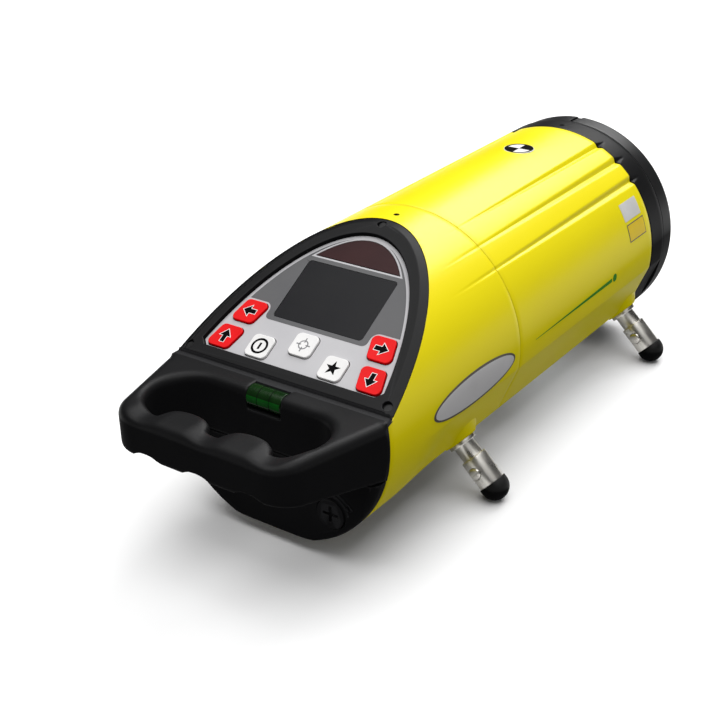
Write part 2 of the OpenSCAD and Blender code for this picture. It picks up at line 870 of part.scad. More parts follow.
// Body of the handle with rounded edges
module handle_body() {
    low_rings = [
        for (k = [0 : round_steps])
            let (a = 90 - 90 * k / round_steps)
            [
                for (p = handle_plan(handle_low_round * (1 - cos(a))))
                    [p[0], p[1], handle_low(p[1]) + handle_low_round * (1 - sin(a))]
            ]
    ];
    high_rings = [
        for (k = [0 : round_steps])
            let (a = 90 * k / round_steps)
            [
                for (p = handle_plan(handle_round * (1 - cos(a))))
                    [p[0], p[1], panel_foot_z - handle_round * (1 - sin(a))]
            ]
    ];
    loft(concat(low_rings, high_rings));
}

// Finger hole with a rounded upper mouth
module finger_hole() {
    low = handle_low(y_rear) - over;
    mouth = [
        for (k = [0 : round_steps])
            let (a = 90 * k / round_steps)
            [
                for (p = hole_plan(hole_flare * (1 - cos(a))))
                    [p[0], p[1], panel_foot_z - hole_flare * (1 - sin(a))]
            ]
    ];
    loft(concat(
        [[for (p = hole_plan(0)) [p[0], p[1], low]]],
        mouth,
        [[for (p = hole_plan(hole_flare)) [p[0], p[1], panel_foot_z + over]]]
    ));
}

module handle() {
    y_wedge = y_foot - handle_gap;
    color(black) placed() difference() {
        union() {
            handle_body();
            intersection() {
                rotate([90, 0, 90]) translate([0, 0, -body_r]) linear_extrude(height = 2 * body_r) polygon([
                    [y_rear - over, panel_foot_z], [y_rear - over, panel_foot_z - handle_round],
                    [y_rear, panel_foot_z - panel_foot_in * tan(panel_tilt)],
                    [y_wedge, panel_foot_z - handle_gap * tan(panel_tilt)], [y_wedge, panel_foot_z]
                ]);
                rod_y(y_rear - 2 * over, y_foot, body_r - fit_gap);
            }
            intersection() {
                span_y(y_rear - over, y_rear + handle_plug_len) housing_outline(wall + fit_gap);
                translate([-body_r, y_rear - over, handle_plug_z0])
                    cube([2 * body_r, body_r, handle_plug_z1 - handle_plug_z0]);
            }
        }
        finger_hole();
        for (i = [-1 : 1]) {
            translate([i * hole_mid_x, 0, handle_low_z + scallop_depth - scallop_r])
                rod_y(y_end - over, hole_y, scallop_r);
        }
        translate([-vial_len / 2, y_cap - hole_front_in - over, vial_z - vial_r - vial_seat_gap])
            cube([vial_len, vial_in + vial_r + vial_seat_gap + over, 2 * vial_r + over + vial_seat_gap]);
    }
}

module level_vial() {
    color(green) placed() translate([-vial_len / 2, y_cap - hole_front_in + vial_in, vial_z])
        rotate([0, 90, 0]) cylinder(h = vial_len, r = vial_r);
}

// Two round lobes side by side, with a flat web between them
module pack_outline(r) {
    for (side = [-1, 1]) translate([side * cell_x, cell_z]) circle(r = r);
    translate([-cell_x, cell_z - r]) square([2 * cell_x, 2 * r]);
}

module battery_bay() {
    color(dark) placed() {
        difference() {
            union() {
                span_y(y_case, y_bay_end + bay_end_t) pack_outline(bay_r);
                intersection() {
                    span_y(y_case + bay_flange_in, y_bay_end) housing_outline(wall + fit_gap);
                    translate([-body_r, y_case, bay_top_z - bay_flange_t])
                        cube([2 * body_r, total_len, bay_flange_t]);
                }
                main_post_places() cylinder(h = main_post_h + bay_flange_t, r = main_post_r);
            }
            span_y(y_case - over, y_bay_end) pack_outline(case_r + run_gap);
        }
    }
}

module main_post_places() {
    for (x = [-1, 1], y = [y_case + 2 * main_post_in, y_case + main_board_len - main_post_in]) {
        translate([x * (main_board_w / 2 - main_post_in), y, bay_top_z - bay_flange_t]) children();
    }
}

module main_board() {
    color(green) placed() translate([-main_board_w / 2, y_case + main_post_in, bay_top_z + main_post_h])
        cube([main_board_w, main_board_len, board_t]);
}

module bay_contacts() {
    color(copper) placed() for (side = [-1, 1]) translate([side * cell_x, 0, cell_z])
        rod_y(y_case_end + contact_t + run_gap, y_bay_end, spring_r);
}

module battery_cover() {
    color(black) placed() difference() {
        union() {
            intersection() {
                revolve_y() {
                    translate([0, y_cap]) square([body_r - cover_round, cap_len]);
                    translate([0, y_cap + cover_round]) square([body_r, cap_len - cover_round]);
                    translate([body_r - cover_round, y_cap + cover_round]) circle(r = cover_round);
                }
                translate([-body_r, y_cap, -belly_drop])
                    cube([2 * body_r, cap_len, belly_drop + split_z]);
            }
            intersection() {
                span_y(y_rear - over, y_rear + cover_plug_len) housing_outline(wall + run_gap);
                translate([-body_r, y_rear - over, -body_r])
                    cube([2 * body_r, body_r, body_r + split_z - over]);
            }
        }
        lock_frame() {
            rod_y(y_cap - over, y_cap + lock_sink, lock_r + run_gap);
            rod_y(y_cap, y_rear + cover_plug_len + over, lock_shaft_r + pin_gap);
        }
    }
}

module battery_case() {
    color(dark) placed() difference() {
        union() {
            span_y(y_case, y_case_end) pack_outline(case_r);
            translate([-neck_w, y_rear + cover_plug_len, cell_z - neck_h])
                cube([2 * neck_w, case_start - cover_plug_len + case_end_t, 2 * neck_h]);
        }
        for (side = [-1, 1]) translate([side * cell_x, 0, cell_z])
            rod_y(y_cells, y_cells + cell_len, cell_r + case_gap / 2);
    }
}

module battery_cells() {
    color(steel) placed() for (side = [-1, 1]) translate([side * cell_x, 0, cell_z])
        rod_y(y_cells, y_cells + cell_len, cell_r);
}

module battery_contacts() {
    color(copper) placed() for (side = [-1, 1]) translate([side * cell_x, 0, cell_z])
        rod_y(y_case_end, y_case_end + contact_t, contact_r);
}

module lock_frame() {
    translate([lock_x, 0, lock_z]) children();
}

// Pocket in the housing's wall that the turned cam enters
module cam_pocket() {
    y0 = y_rear + cover_plug_len;
    translate([0, y0, -cam_pocket_w / 2])
        cube([cam_reach + fit_gap + cam_gap, cam_t + 2 * cam_gap, cam_pocket_w]);
}

module lock_knob() {
    color(dark) placed() lock_frame() difference() {
        union() {
            rod_y(y_cap - lock_proud, y_cap + lock_sink - run_gap, lock_r);
            rod_y(y_cap - lock_proud, y_rear + cover_plug_len + cam_gap, lock_shaft_r);
        }
        for (turn = [0, 90]) rotate([0, turn, 0])
            translate([-lock_slot_len / 2, y_cap - lock_proud - over, -lock_slot_w / 2])
                cube([lock_slot_len, lock_slot_depth + over, lock_slot_w]);
    }
}

// Cam at rest along the wall; a quarter turn points it into the wall's pocket
module lock_cam() {
    y0 = y_rear + cover_plug_len + cam_gap;
    color(steel) placed() lock_frame() rotate([0, 90 - cam_angle, 0]) {
        rod_y(y0, y0 + cam_t, cam_w / 2);
        translate([0, y0, -cam_w / 2]) cube([cam_reach, cam_t, cam_w]);
    }
}

// Screwed-in leg: stud, flange, shank and a sleeve held by a small cross screw
module leg(side, y) {
    color(steel) placed() leg_frame(side, y) difference() {
        union() {
            translate([0, 0, leg_seat - stud_len]) cylinder(h = stud_len, r = stud_r);
            translate([0, 0, leg_seat]) cylinder(h = flange_t, r = flange_r);
            translate([0, 0, leg_seat]) cylinder(h = leg_sleeve_start - leg_seat, r = leg_shank_r);
            translate([0, 0, leg_sleeve_start]) cylinder(h = leg_sleeve_len, r = leg_sleeve_r);
            translate([0, 0, leg_sleeve_end]) cylinder(h = peg_len, r = peg_r);
        }
        translate([0, 0, leg_sleeve_start + leg_screw_in]) {
            rod_y(-2 * leg_sleeve_r, leg_screw_sink - leg_sleeve_r, leg_screw_r + fit_gap);
            rod_y(-leg_sleeve_r, leg_screw_sink - leg_sleeve_r + leg_screw_len, leg_screw_shank_r + fit_gap);
        }
    }
}

// Slotted screws that hold the sleeves, all facing the handle
module leg_screws() {
    head = leg_screw_sink - leg_sleeve_r;
    color(steel) placed() for (side = [-1, 1], y = [y_leg_front, y_leg_rear]) leg_frame(side, y)
        translate([0, 0, leg_sleeve_start + leg_screw_in]) difference() {
            union() {
                rod_y(-leg_sleeve_r - leg_screw_proud, head, leg_screw_r);
                rod_y(head - over, head + leg_screw_len - fit_gap, leg_screw_shank_r);
            }
            translate([-2 * leg_screw_r, -2 * leg_sleeve_r, -leg_slot_w / 2])
                cube([4 * leg_screw_r, leg_sleeve_r - leg_screw_proud + leg_slot_depth, leg_slot_w]);
        }
}

// Rubber ball foot on the leg's peg
module foot(side, y) {
    color(dark) placed() leg_frame(side, y) difference() {
        union() {
            translate([0, 0, leg_sleeve_end]) cylinder(h = foot_shoulder, r = foot_r);
            translate([0, 0, leg_reach]) sphere(r = foot_r);
        }
        translate([0, 0, leg_sleeve_end - 2 * foot_r]) cylinder(h = 2 * foot_r, r = 2 * foot_r);
        translate([0, 0, leg_sleeve_end - over]) cylinder(h = peg_len + over, r = peg_r);
    }
}

// Plate on the belly with the upright pin of the line axis and a bracket for its motor
module gimbal_base() {
    base_z = wall - belly_drop;
    color(grey) placed() {
        translate([-base_w / 2, y_gimbal - base_len / 2, base_z]) cube([base_w, base_len, base_t]);
        translate([0, y_gimbal, base_z]) cylinder(h = hub_z - yoke_gap - base_z, r = post_base_r);
        translate([0, y_gimbal, base_z]) cylinder(h = hub_z + hub_h - base_z, r = pin_r);
        translate([base_w / 2 - line_bracket_t, y_gimbal - base_len / 2, 0]) {
            translate([0, 0, base_z])
                cube([line_bracket_t, line_bracket_t, line_motor_z + motor_r - base_z]);
            translate([0, 0, line_motor_z - motor_r]) cube([
                line_motor_x + motor_r + line_bracket_t - base_w / 2, line_bracket_t, 2 * motor_r
            ]);
        }
    }
}

// Fork that turns on the base's pin and carries the laser tube between its arms
module line_yoke() {
    arm_z = hub_z + hub_h;
    color(steel) placed() difference() {
        union() {
            translate([0, y_gimbal, hub_z]) cylinder(h = hub_h, r = hub_r);
            translate([-yoke_w / 2, y_gimbal - yoke_arm_len / 2, hub_z])
                cube([yoke_w, yoke_arm_len, yoke_arm_t]);
            translate([-tail_w / 2, y_gimbal - tail_len, hub_z]) cube([tail_w, tail_len, tail_t]);
            for (side = [-1, 1]) {
                arm_x = side * (yoke_w - yoke_arm_t) / 2;
                translate([arm_x - yoke_arm_t / 2, y_gimbal - yoke_arm_len / 2, hub_z])
                    cube([yoke_arm_t, yoke_arm_len, -hub_z]);
                translate([arm_x, y_gimbal, 0]) rotate([0, 90, 0])
                    cylinder(h = yoke_arm_t, r = yoke_arm_len / 2, center = true);
            }
        }
        translate([0, y_gimbal, hub_z - over]) cylinder(h = hub_h + 2 * over, r = pin_r + pin_gap);
        translate([0, y_gimbal, 0]) rotate([0, 90, 0])
            cylinder(h = yoke_w + 2 * over, r = pin_r + pin_gap, center = true);
        translate([-tube_r - yoke_in, y_gimbal - yoke_arm_len, arm_z])
            cube([2 * (tube_r + yoke_in), 2 * yoke_arm_len, body_r]);
    }
}

// Barrel with its two tilt pins, a seat for the lens in front and one for the diode behind
module laser_tube() {
    y0 = y_gimbal - tube_back;
    color(dark) placed() difference() {
        union() {
            rod_y(y0, y0 + tube_len, tube_r);
            translate([0, y_gimbal, 0]) rotate([0, 90, 0]) cylinder(h = yoke_w, r = pin_r, center = true);
        }
        rod_y(y0 + diode_len, y0 + tube_len + over, tube_r - tube_wall - lens_lip);
        rod_y(y0 + tube_len - lens_t, y0 + tube_len + over, tube_r - tube_wall);
        rod_y(y0 - over, y0 + diode_len + over, diode_r);
    }
}

module collimator_lens() {
    y1 = y_gimbal - tube_back + tube_len;
    color([0.75, 0.85, 0.88, 0.6]) placed() rod_y(y1 - lens_t, y1, tube_r - tube_wall);
}

module laser_diode() {
    y0 = y_gimbal - tube_back;
    color(copper) placed() rod_y(y0, y0 + diode_len, diode_r);
}

// Small motor with a screw shaft, along Y from its flange
module motor(y_flange, shaft) {
    rod_y(y_flange - motor_flange - motor_len, y_flange - motor_flange, motor_r);
    rod_y(y_flange - motor_flange, y_flange, motor_r);
    rod_y(y_flange, y_flange + shaft, motor_screw_r);
}

module line_motor() {
    color(dark) placed() translate([line_motor_x, 0, line_motor_z])
        motor(y_gimbal - base_len / 2 + line_bracket_t + motor_len + motor_flange, motor_screw_len);
}

// Tilt motor, hung under the fork's tail
module grade_motor() {
    color(dark) placed() translate([0, y_gimbal - tail_len + motor_r, hub_z - motor_r]) rotate([0, 90, 0])
        cylinder(h = motor_len, r = motor_r, center = true);
}

// Round sighting mark, let into the top
module rotation_mark() {
    color(white) placed() translate([0, y_collar - mark_in, body_r - mark_t])
        cylinder(h = mark_t, r = mark_r);
}

front_housing();
rear_housing();
housing_seal();
front_collar();
front_ring();
front_screws();
window_seal();
window_glass();
window_retainer();
panel_bezel();
bezel_screws();
keypad_overlay();
display_window();
ir_window();
lcd_module();
display_board();
ir_receiver();
handle();
level_vial();
battery_bay();
bay_contacts();
main_board();
battery_cover();
battery_case();
battery_cells();
battery_contacts();
lock_knob();
lock_cam();
key(0, red);  // key_left
key(1, red);  // key_right
key(2, red);  // key_up
key(3, red);  // key_down
key(4, white);  // key_power
key(5, white);  // key_star
key(6, white);  // key_target
leg(-1, y_leg_front);  // leg_front_left
leg(1, y_leg_front);  // leg_front_right
leg(-1, y_leg_rear);  // leg_rear_left
leg(1, y_leg_rear);  // leg_rear_right
foot(-1, y_leg_front);  // foot_front_left
foot(1, y_leg_front);  // foot_front_right
foot(-1, y_leg_rear);  // foot_rear_left
foot(1, y_leg_rear);  // foot_rear_right
leg_screws();
gimbal_base();
line_yoke();
laser_tube();
collimator_lens();
laser_diode();
line_motor();
grade_motor();
rotation_mark();
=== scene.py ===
import json
import math

import bpy
from mathutils import Matrix, Vector


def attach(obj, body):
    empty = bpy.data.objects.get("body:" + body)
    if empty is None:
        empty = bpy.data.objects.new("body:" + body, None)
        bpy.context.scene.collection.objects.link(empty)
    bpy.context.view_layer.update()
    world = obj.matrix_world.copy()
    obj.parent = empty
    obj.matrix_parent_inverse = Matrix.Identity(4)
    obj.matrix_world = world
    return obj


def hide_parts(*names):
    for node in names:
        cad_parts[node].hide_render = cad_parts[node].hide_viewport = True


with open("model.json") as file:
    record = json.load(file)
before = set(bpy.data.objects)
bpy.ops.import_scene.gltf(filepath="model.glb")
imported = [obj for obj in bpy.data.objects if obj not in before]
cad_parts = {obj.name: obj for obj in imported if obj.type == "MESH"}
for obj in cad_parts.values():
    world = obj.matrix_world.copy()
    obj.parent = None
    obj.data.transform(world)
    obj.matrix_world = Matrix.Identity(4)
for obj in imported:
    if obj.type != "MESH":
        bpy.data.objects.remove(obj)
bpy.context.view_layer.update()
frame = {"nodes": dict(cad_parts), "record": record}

# Housings: two cast aluminium shells that meet at a seam, round above and with flats below. Three
# grooves run forwards on each upper side. Lemon yellow powder coat, with a slight orange peel.
mm = 0.001
axis_z = 48.875 * mm
body_r = 48 * mm
wall = 3 * mm
y_rear, y_seam, y_collar = -90.9 * mm, -5.2 * mm, 109 * mm
seam_round = 0.45 * mm
section_flats = ((-23.3, 46.4), (-45, 46.5), (-90, 44), (-135, 46.5), (-156.7, 46.4))
section_corners = (-8.5, -34.3, -59.4, -66.4, -113.6, -120.6, -145.7, -171.5)
flats_start, flats_full = -74 * mm, -52 * mm
soft_steps = (-0.4, -0.2, 0, 0.2, 0.4)
groove_turns = (65, 52.5, 40, 115, 127.5, 140)
groove_starts = (-16.3, -28.6, -37.6, -16.3, -28.6, -37.6)
groove_depth, groove_fade, groove_reach, groove_flank = 1.5, 6, 6, 1.43
groove_rise, collar_share = 0.75, 0.7
fine_turns = [centre + 0.3 * k for centre in groove_turns for k in range(-12, 13)]
fine_turns += [corner + 0.4 * k for corner in section_corners for k in range(-2, 3)]
shell_turns = sorted(set([2.0 * k for k in range(-90, 90)] + fine_turns))
shell_turns.append(shell_turns[0] + 360)
row_pitch = 2.4 * mm
lip = [(0, seam_round), (0.3 * seam_round, 0.3 * seam_round)]
spigot_in, spigot_bore, spigot_rear, spigot_front = 3.15 * mm, 5.35 * mm, -7.4 * mm, 2.8 * mm
leg_off = 6.8 * mm
leg_rows = {"front": 104.5 * mm, "rear": -30.9 * mm}
lit_range, dull_share, patch_range = (0.05, 0.7), 0.02, (0.3, 0.7)
panel_slope = math.radians(30)
panel_foot = Vector((0, -87.4 * mm, axis_z + 10 * mm))
panel_up = Vector((0, math.cos(panel_slope), math.sin(panel_slope)))
panel_out = Vector((0, -math.sin(panel_slope), math.cos(panel_slope)))


def section_reach(turn, y):
    """Radius of the housing in one direction, in metres. The side flats run out into the round rear end."""
    share = min(1, max(0, (y - flats_start) / (flats_full - flats_start)))
    share = share * share * (3 - 2 * share)
    total = 0
    for step in soft_steps:
        r = body_r
        for flat, reach in section_flats:
            lean = math.cos(math.radians(turn + step - flat))
            if lean > 0.5:
                deep = 1 if flat == -90 else share
                r = min(r, body_r + deep * min(0, reach * mm / lean - body_r))
        total += r
    return total / len(soft_steps)


def groove_fall(turn, y):
    """Depth of the side grooves at a place on the housing or the collar, in metres."""
    deepest = 0
    for centre, start in zip(groove_turns, groove_starts):
        away = math.radians(turn - centre) * body_r / mm
        if abs(away) > groove_reach:
            continue
        if y <= y_collar:
            depth = groove_depth * max(0, (y / mm - start) / (y_collar / mm - start)) ** groove_rise
        else:
            depth = collar_share * groove_depth * (1 - (y - y_collar) / mm / groove_fade)
        soft = [max(0, depth - abs(away + shift) / groove_flank) for shift in soft_steps]
        deepest = max(deepest, sum(soft) / len(soft_steps))
    return deepest * mm


def picked(piece):
    """Makes a piece the only one that the next step works on."""
    bpy.ops.object.select_all(action="DESELECT")
    piece.select_set(True)
    bpy.context.view_layer.objects.active = piece


def formed_sheet(name, across, along, place):
    """Grid of points put in place one by one, with its seams and poles merged."""
    bpy.ops.object.select_all(action="DESELECT")
    bpy.ops.mesh.primitive_grid_add(x_subdivisions=len(across) - 1, y_subdivisions=len(along) - 1, size=1)
    piece = bpy.context.object
    piece.name = name
    for i, vertex in enumerate(piece.data.vertices):
        vertex.co = place(across[i % len(across)], along[i // len(across)])
    bpy.ops.object.mode_set(mode="EDIT")
    bpy.ops.mesh.select_all(action="SELECT")
    bpy.ops.mesh.remove_doubles(threshold=1e-6)
    bpy.ops.mesh.normals_make_consistent(inside=False)
    bpy.ops.object.mode_set(mode="OBJECT")
    return piece


def polar(r, turn):
    """The two square parts of a radius that points in a direction, given in degrees."""
    return r * math.cos(math.radians(turn)), r * math.sin(math.radians(turn))


def circle(count):
    """Directions once round, in degrees, with the first again at the end."""
    return [360 / count * k for k in range(count + 1)]


def housing_point(turn, row):
    """Point of a shell: row gives the place along the length, the inset and whether grooves show."""
    y, inset, grooved = row
    x, z = polar(section_reach(turn, y) - inset - (groove_fall(turn, y) if grooved else 0), turn)
    return Vector((x, y, axis_z + z))


def rolled(name, rows):
    """Closed tube of rows round the middle line."""
    return formed_sheet(name, shell_turns, rows + [rows[0]], housing_point)


def kept_below(piece, point, way):
    """Cuts off what lies past a plane and closes the cut."""
    picked(piece)
    bpy.ops.object.mode_set(mode="EDIT")
    bpy.ops.mesh.select_all(action="SELECT")
    bpy.ops.mesh.bisect(plane_co=point, plane_no=way, use_fill=True, clear_outer=True)
    bpy.ops.mesh.select_all(action="SELECT")
    bpy.ops.mesh.normals_make_consistent(inside=False)
    bpy.ops.object.mode_set(mode="OBJECT")


def joined(pieces):
    """Makes the pieces one object, named as the first."""
    bpy.ops.object.select_all(action="DESELECT")
    for piece in pieces:
        piece.select_set(True)
    bpy.context.view_layer.objects.active = pieces[0]
    bpy.ops.object.join()
    return pieces[0]


def smoothed(piece, angle=40):
    """Smooth shading, except over edges sharper than the angle."""
    picked(piece)
    bpy.ops.object.shade_smooth_by_angle(angle=math.radians(angle))


def dressed(piece, material, *nodes):
    """Gives a piece its finish, hides its nodes and puts it on their body."""
    record = frame["record"]
    piece.data.materials.clear()
    piece.data.materials.append(material)
    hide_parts(*nodes)
    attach(piece, [b for b, held in record["behaviour"]["bodies"].items() if nodes[0] in held][0])


def screen(red, green, blue):
    """Colour as it looks on a screen, from 0 to 255, in linear light."""
    return tuple((max(c, 11) / 255 + 0.055) ** 2.4 / 1.055 ** 2.4 for c in (red, green, blue)) + (1,)


def spread(nodes, low, high, least, most):
    """Node that stretches one range of values over another."""
    node = nodes.new("ShaderNodeMapRange")
    node.inputs["From Min"].default_value = low
    node.inputs["From Max"].default_value = high
    node.inputs["To Min"].default_value = least
    node.inputs["To Max"].default_value = most
    return node


def finish(name, light, dark, patch, rough, drift, grain, grain_depth, metal=0, shine=0.5):
    """Surface whose tint and gloss drift in soft patches over a fine grain, duller where it faces down."""
    material = bpy.data.materials.new(name)
    material.use_nodes = True
    nodes, links = material.node_tree.nodes, material.node_tree.links
    shader = nodes["Principled BSDF"]
    shader.inputs["Metallic"].default_value = metal
    shape = nodes.new("ShaderNodeNewGeometry")
    height = nodes.new("ShaderNodeSeparateXYZ")
    links.new(shape.outputs["Normal"], height.inputs["Vector"])
    dull = spread(nodes, *lit_range, dull_share * shine, shine)
    links.new(height.outputs["Z"], dull.inputs["Value"])
    links.new(dull.outputs["Result"], shader.inputs["Specular IOR Level"])
    spot = nodes.new("ShaderNodeTexCoord")
    patches = nodes.new("ShaderNodeTexNoise")
    patches.inputs["Scale"].default_value = 1 / patch
    patches.inputs["Detail"].default_value = 6
    links.new(spot.outputs["Object"], patches.inputs["Vector"])
    tone = nodes.new("ShaderNodeValToRGB")
    tone.name = "tone"
    for stop, position, tint in zip(tone.color_ramp.elements, patch_range, (dark, light)):
        stop.position = position
        stop.color = tint
    links.new(patches.outputs["Fac"], tone.inputs["Fac"])
    links.new(tone.outputs["Color"], shader.inputs["Base Color"])
    gloss = spread(nodes, *patch_range, rough - drift, rough + drift)
    links.new(patches.outputs["Fac"], gloss.inputs["Value"])
    links.new(gloss.outputs["Result"], shader.inputs["Roughness"])
    grains = nodes.new("ShaderNodeTexNoise")
    grains.name = "grains"
    grains.inputs["Scale"].default_value = 1 / grain
    grains.inputs["Detail"].default_value = 3
    links.new(spot.outputs["Object"], grains.inputs["Vector"])
    bump = nodes.new("ShaderNodeBump")
    bump.inputs["Strength"].default_value = 0.6
    bump.inputs["Distance"].default_value = grain_depth
    links.new(grains.outputs["Fac"], bump.inputs["Height"])
    links.new(bump.outputs["Normal"], shader.inputs["Normal"])
    return material


def edge_worn(material, tint, low, high):
    """Rubs the tint through on outer edges, in broken patches."""
    nodes, links = material.node_tree.nodes, material.node_tree.links
    shape = nodes.new("ShaderNodeNewGeometry")
    edge = spread(nodes, low, high, 0, 1)
    links.new(shape.outputs["Pointiness"], edge.inputs["Value"])
    broken = nodes.new("ShaderNodeMath")
    broken.operation = "MULTIPLY"
    links.new(edge.outputs["Result"], broken.inputs[0])
    links.new(nodes["grains"].outputs["Fac"], broken.inputs[1])
    rub = nodes.new("ShaderNodeMix")
    rub.data_type = "RGBA"
    share_in, base_in, tint_in, tint_out = 0, 6, 7, 2
    rub.inputs[tint_in].default_value = tint
    links.new(broken.outputs["Value"], rub.inputs[share_in])
    links.new(nodes["tone"].outputs["Color"], rub.inputs[base_in])
    links.new(rub.outputs[tint_out], nodes["Principled BSDF"].inputs["Base Color"])


yellow_coat = finish("lemon_powder_coat", screen(242, 226, 8), screen(238, 220, 4),
                     90 * mm, 0.32, 0.03, 1.6 * mm, 0.012 * mm, shine=0.42)
edge_worn(yellow_coat, screen(196, 178, 34), 0.53, 0.6)


def leg_point(side, y, across, back, reach):
    """Point on a leg's own axes, in millimetres: across it, towards the handle, and outwards along it."""
    slope = math.sqrt(0.5)
    outwards = Vector((side * slope, 0, -slope))
    upwards = Vector((side * slope, 0, slope))
    return Vector((0, y - back * mm, axis_z)) + upwards * (leg_off + across * mm) + outwards * (reach * mm)


def leg_pad(name, side, y):
    """Flared seat for a leg, blended out of the shell."""
    profile = ((10.2, 42.6), (9.3, 44.1), (8.3, 45.4), (7.5, 46.3), (7, 46.9), (6.7, 47.2), (6.4, 47.3),
               (0, 47.3))

    def pad_point(turn, row):
        across, forwards = polar(row[0], turn)
        return leg_point(side, y, across, -forwards, row[1])

    return formed_sheet(name, circle(48), profile, pad_point)


def shell(name, y0, y1):
    """One housing's tube: outer face with rounded rims, and inner face."""
    count = round((y1 - y0) / row_pitch)
    middle = [y0 + seam_round + (y1 - y0 - 2 * seam_round) * k / count for k in range(count + 1)]
    rows = [(y0 + d, inset, True) for d, inset in lip]
    rows += [(y, 0, True) for y in middle]
    rows += [(y1 - d, inset, True) for d, inset in reversed(lip)]
    rows += [(y1, wall, False), (y0, wall, False)]
    return rolled(name, rows)


front_shell = shell("front_shell", y_seam, y_collar)
front_pads = [leg_pad("front_pad", side, leg_rows["front"]) for side in (-1, 1)]
for pad in front_pads:
    kept_below(pad, (0, y_collar, 0), (0, 1, 0))
front_shell = joined([front_shell] + front_pads)
smoothed(front_shell)
dressed(front_shell, yellow_coat, "front_housing")

rear_shell = shell("rear_shell", y_rear, y_seam)
kept_below(rear_shell, panel_foot, panel_out)
spigot = rolled("spigot", [(spigot_rear, spigot_in, False), (spigot_front, spigot_in, False),
                           (spigot_front, spigot_bore, False), (spigot_rear, spigot_bore, False)])
rear_pads = [leg_pad("rear_pad", side, leg_rows["rear"]) for side in (-1, 1)]
rear_shell = joined([rear_shell, spigot] + rear_pads)
smoothed(rear_shell)
dressed(rear_shell, yellow_coat, "rear_housing")

# Front collar: a black moulding that closes the front housing and seats the beam window. The side
# grooves run out on its rim. Fine-grained glass-filled plastic, pressed in with a spigot.
black_plastic = finish("black_grained_plastic", screen(27, 27, 28), screen(22, 22, 23),
                       40 * mm, 0.42, 0.05, 0.5 * mm, 0.02 * mm, shine=0.13)
edge_worn(black_plastic, screen(58, 58, 60), 0.52, 0.62)


def collar_point(turn, row):
    """Point of the collar: a row is drawn in from the housing's outline, or round where it gives a radius."""
    y, inset, grooved, r = row
    if r is None:
        return housing_point(turn, (y, inset, grooved))
    x, z = polar(r, turn)
    return Vector((x, y, axis_z + z))


collar_rows = [(109.0, 0.4, True), (109.1, 0.12, True), (109.4, 0, True)]
collar_rows += [(109.4 + 0.7 * k, 0, True) for k in range(1, 11)]
collar_rows += [(118.6, 0, False), (120.6, 0, False), (121.25, 0.25, False), (121.5, 0.9, False)]
collar_rows = [(y * mm, inset * mm, grooved, None) for y, inset, grooved in collar_rows]
collar_front, window_seat, collar_end = 121.5 * mm, 116.5 * mm, 101 * mm
window_bore, beam_bore = 38.15 * mm, 34 * mm
collar_rows += [(collar_front, 0, False, window_bore), (window_seat, 0, False, window_bore),
                (window_seat, 0, False, beam_bore), (collar_end, 0, False, beam_bore),
                (collar_end, spigot_in, False, None), (y_collar, spigot_in, False, None)]
collar = formed_sheet("collar", shell_turns, collar_rows + [collar_rows[0]], collar_point)
smoothed(collar)
dressed(collar, black_plastic, "front_collar")

# Front ring and its screws: an anodised ring that holds the window's frame, with a sighting notch on
# top and sunk screws round it. The window is coated glass between a rubber seal and a steel retainer.
# A rubber ring seals the seam between the housings.
steel = finish("turned_steel", screen(224, 221, 214), screen(200, 197, 190),
               6 * mm, 0.3, 0.06, 0.25 * mm, 0.006 * mm, metal=0.9)
edge_worn(steel, screen(240, 238, 234), 0.52, 0.6)
ring_black = finish("black_anodised", screen(26, 26, 27), screen(20, 20, 21),
                    30 * mm, 0.36, 0.05, 0.4 * mm, 0.008 * mm, shine=0.35)
edge_worn(ring_black, screen(72, 72, 74), 0.53, 0.62)
rubber = finish("matte_rubber", screen(22, 22, 22), screen(16, 16, 16),
                5 * mm, 0.5, 0.06, 0.4 * mm, 0.02 * mm, shine=0.35)
beam_glass = finish("coated_glass", screen(214, 226, 230), screen(206, 220, 226),
                    30 * mm, 0.04, 0.015, 6 * mm, 0.001 * mm)
beam_glass.node_tree.nodes["Principled BSDF"].inputs["Transmission Weight"].default_value = 1
beam_glass.node_tree.nodes["Principled BSDF"].inputs["IOR"].default_value = 1.45


def copied(node, name):
    """Copy of a solid from the frame, with its faces joined at their edges."""
    piece = bpy.data.objects.new(name, frame["nodes"][node].data.copy())
    bpy.context.scene.collection.objects.link(piece)
    picked(piece)
    bpy.ops.mesh.customdata_custom_splitnormals_clear()
    bpy.ops.object.mode_set(mode="EDIT")
    bpy.ops.mesh.select_all(action="SELECT")
    bpy.ops.mesh.remove_doubles(threshold=1e-6)
    bpy.ops.object.mode_set(mode="OBJECT")
    return piece


def softened(node, name, width, material, steps=2, angle=32):
    """Copy of a solid with its edges broken by a small bevel."""
    piece = copied(node, name)
    bpy.ops.object.mode_set(mode="EDIT")
    bpy.ops.mesh.select_all(action="SELECT")
    bpy.ops.mesh.dissolve_limited(angle_limit=math.radians(0.5))
    bpy.ops.object.mode_set(mode="OBJECT")
    bevel = piece.modifiers.new("edges", "BEVEL")
    bevel.width = width
    bevel.segments = steps
    bevel.limit_method = "ANGLE"
    bevel.angle_limit = math.radians(angle)
    bevel.use_clamp_overlap = False
    bpy.ops.object.modifier_apply(modifier="edges")
    smoothed(piece, 38)
    flat = piece.modifiers.new("flat", "WEIGHTED_NORMAL")
    flat.keep_sharp = True
    bpy.ops.object.modifier_apply(modifier="flat")
    dressed(piece, material, node)
    return piece


softened("front_ring", "ring", 0.25 * mm, ring_black)
softened("front_screws", "ring_screws", 0.2 * mm, steel)
softened("window_seal", "glass_seal", 0.15 * mm, rubber)
softened("window_glass", "glass", 0.3 * mm, beam_glass)
softened("window_retainer", "glass_retainer", 0.25 * mm, steel)
softened("housing_seal", "seam_seal", 0.2 * mm, rubber)

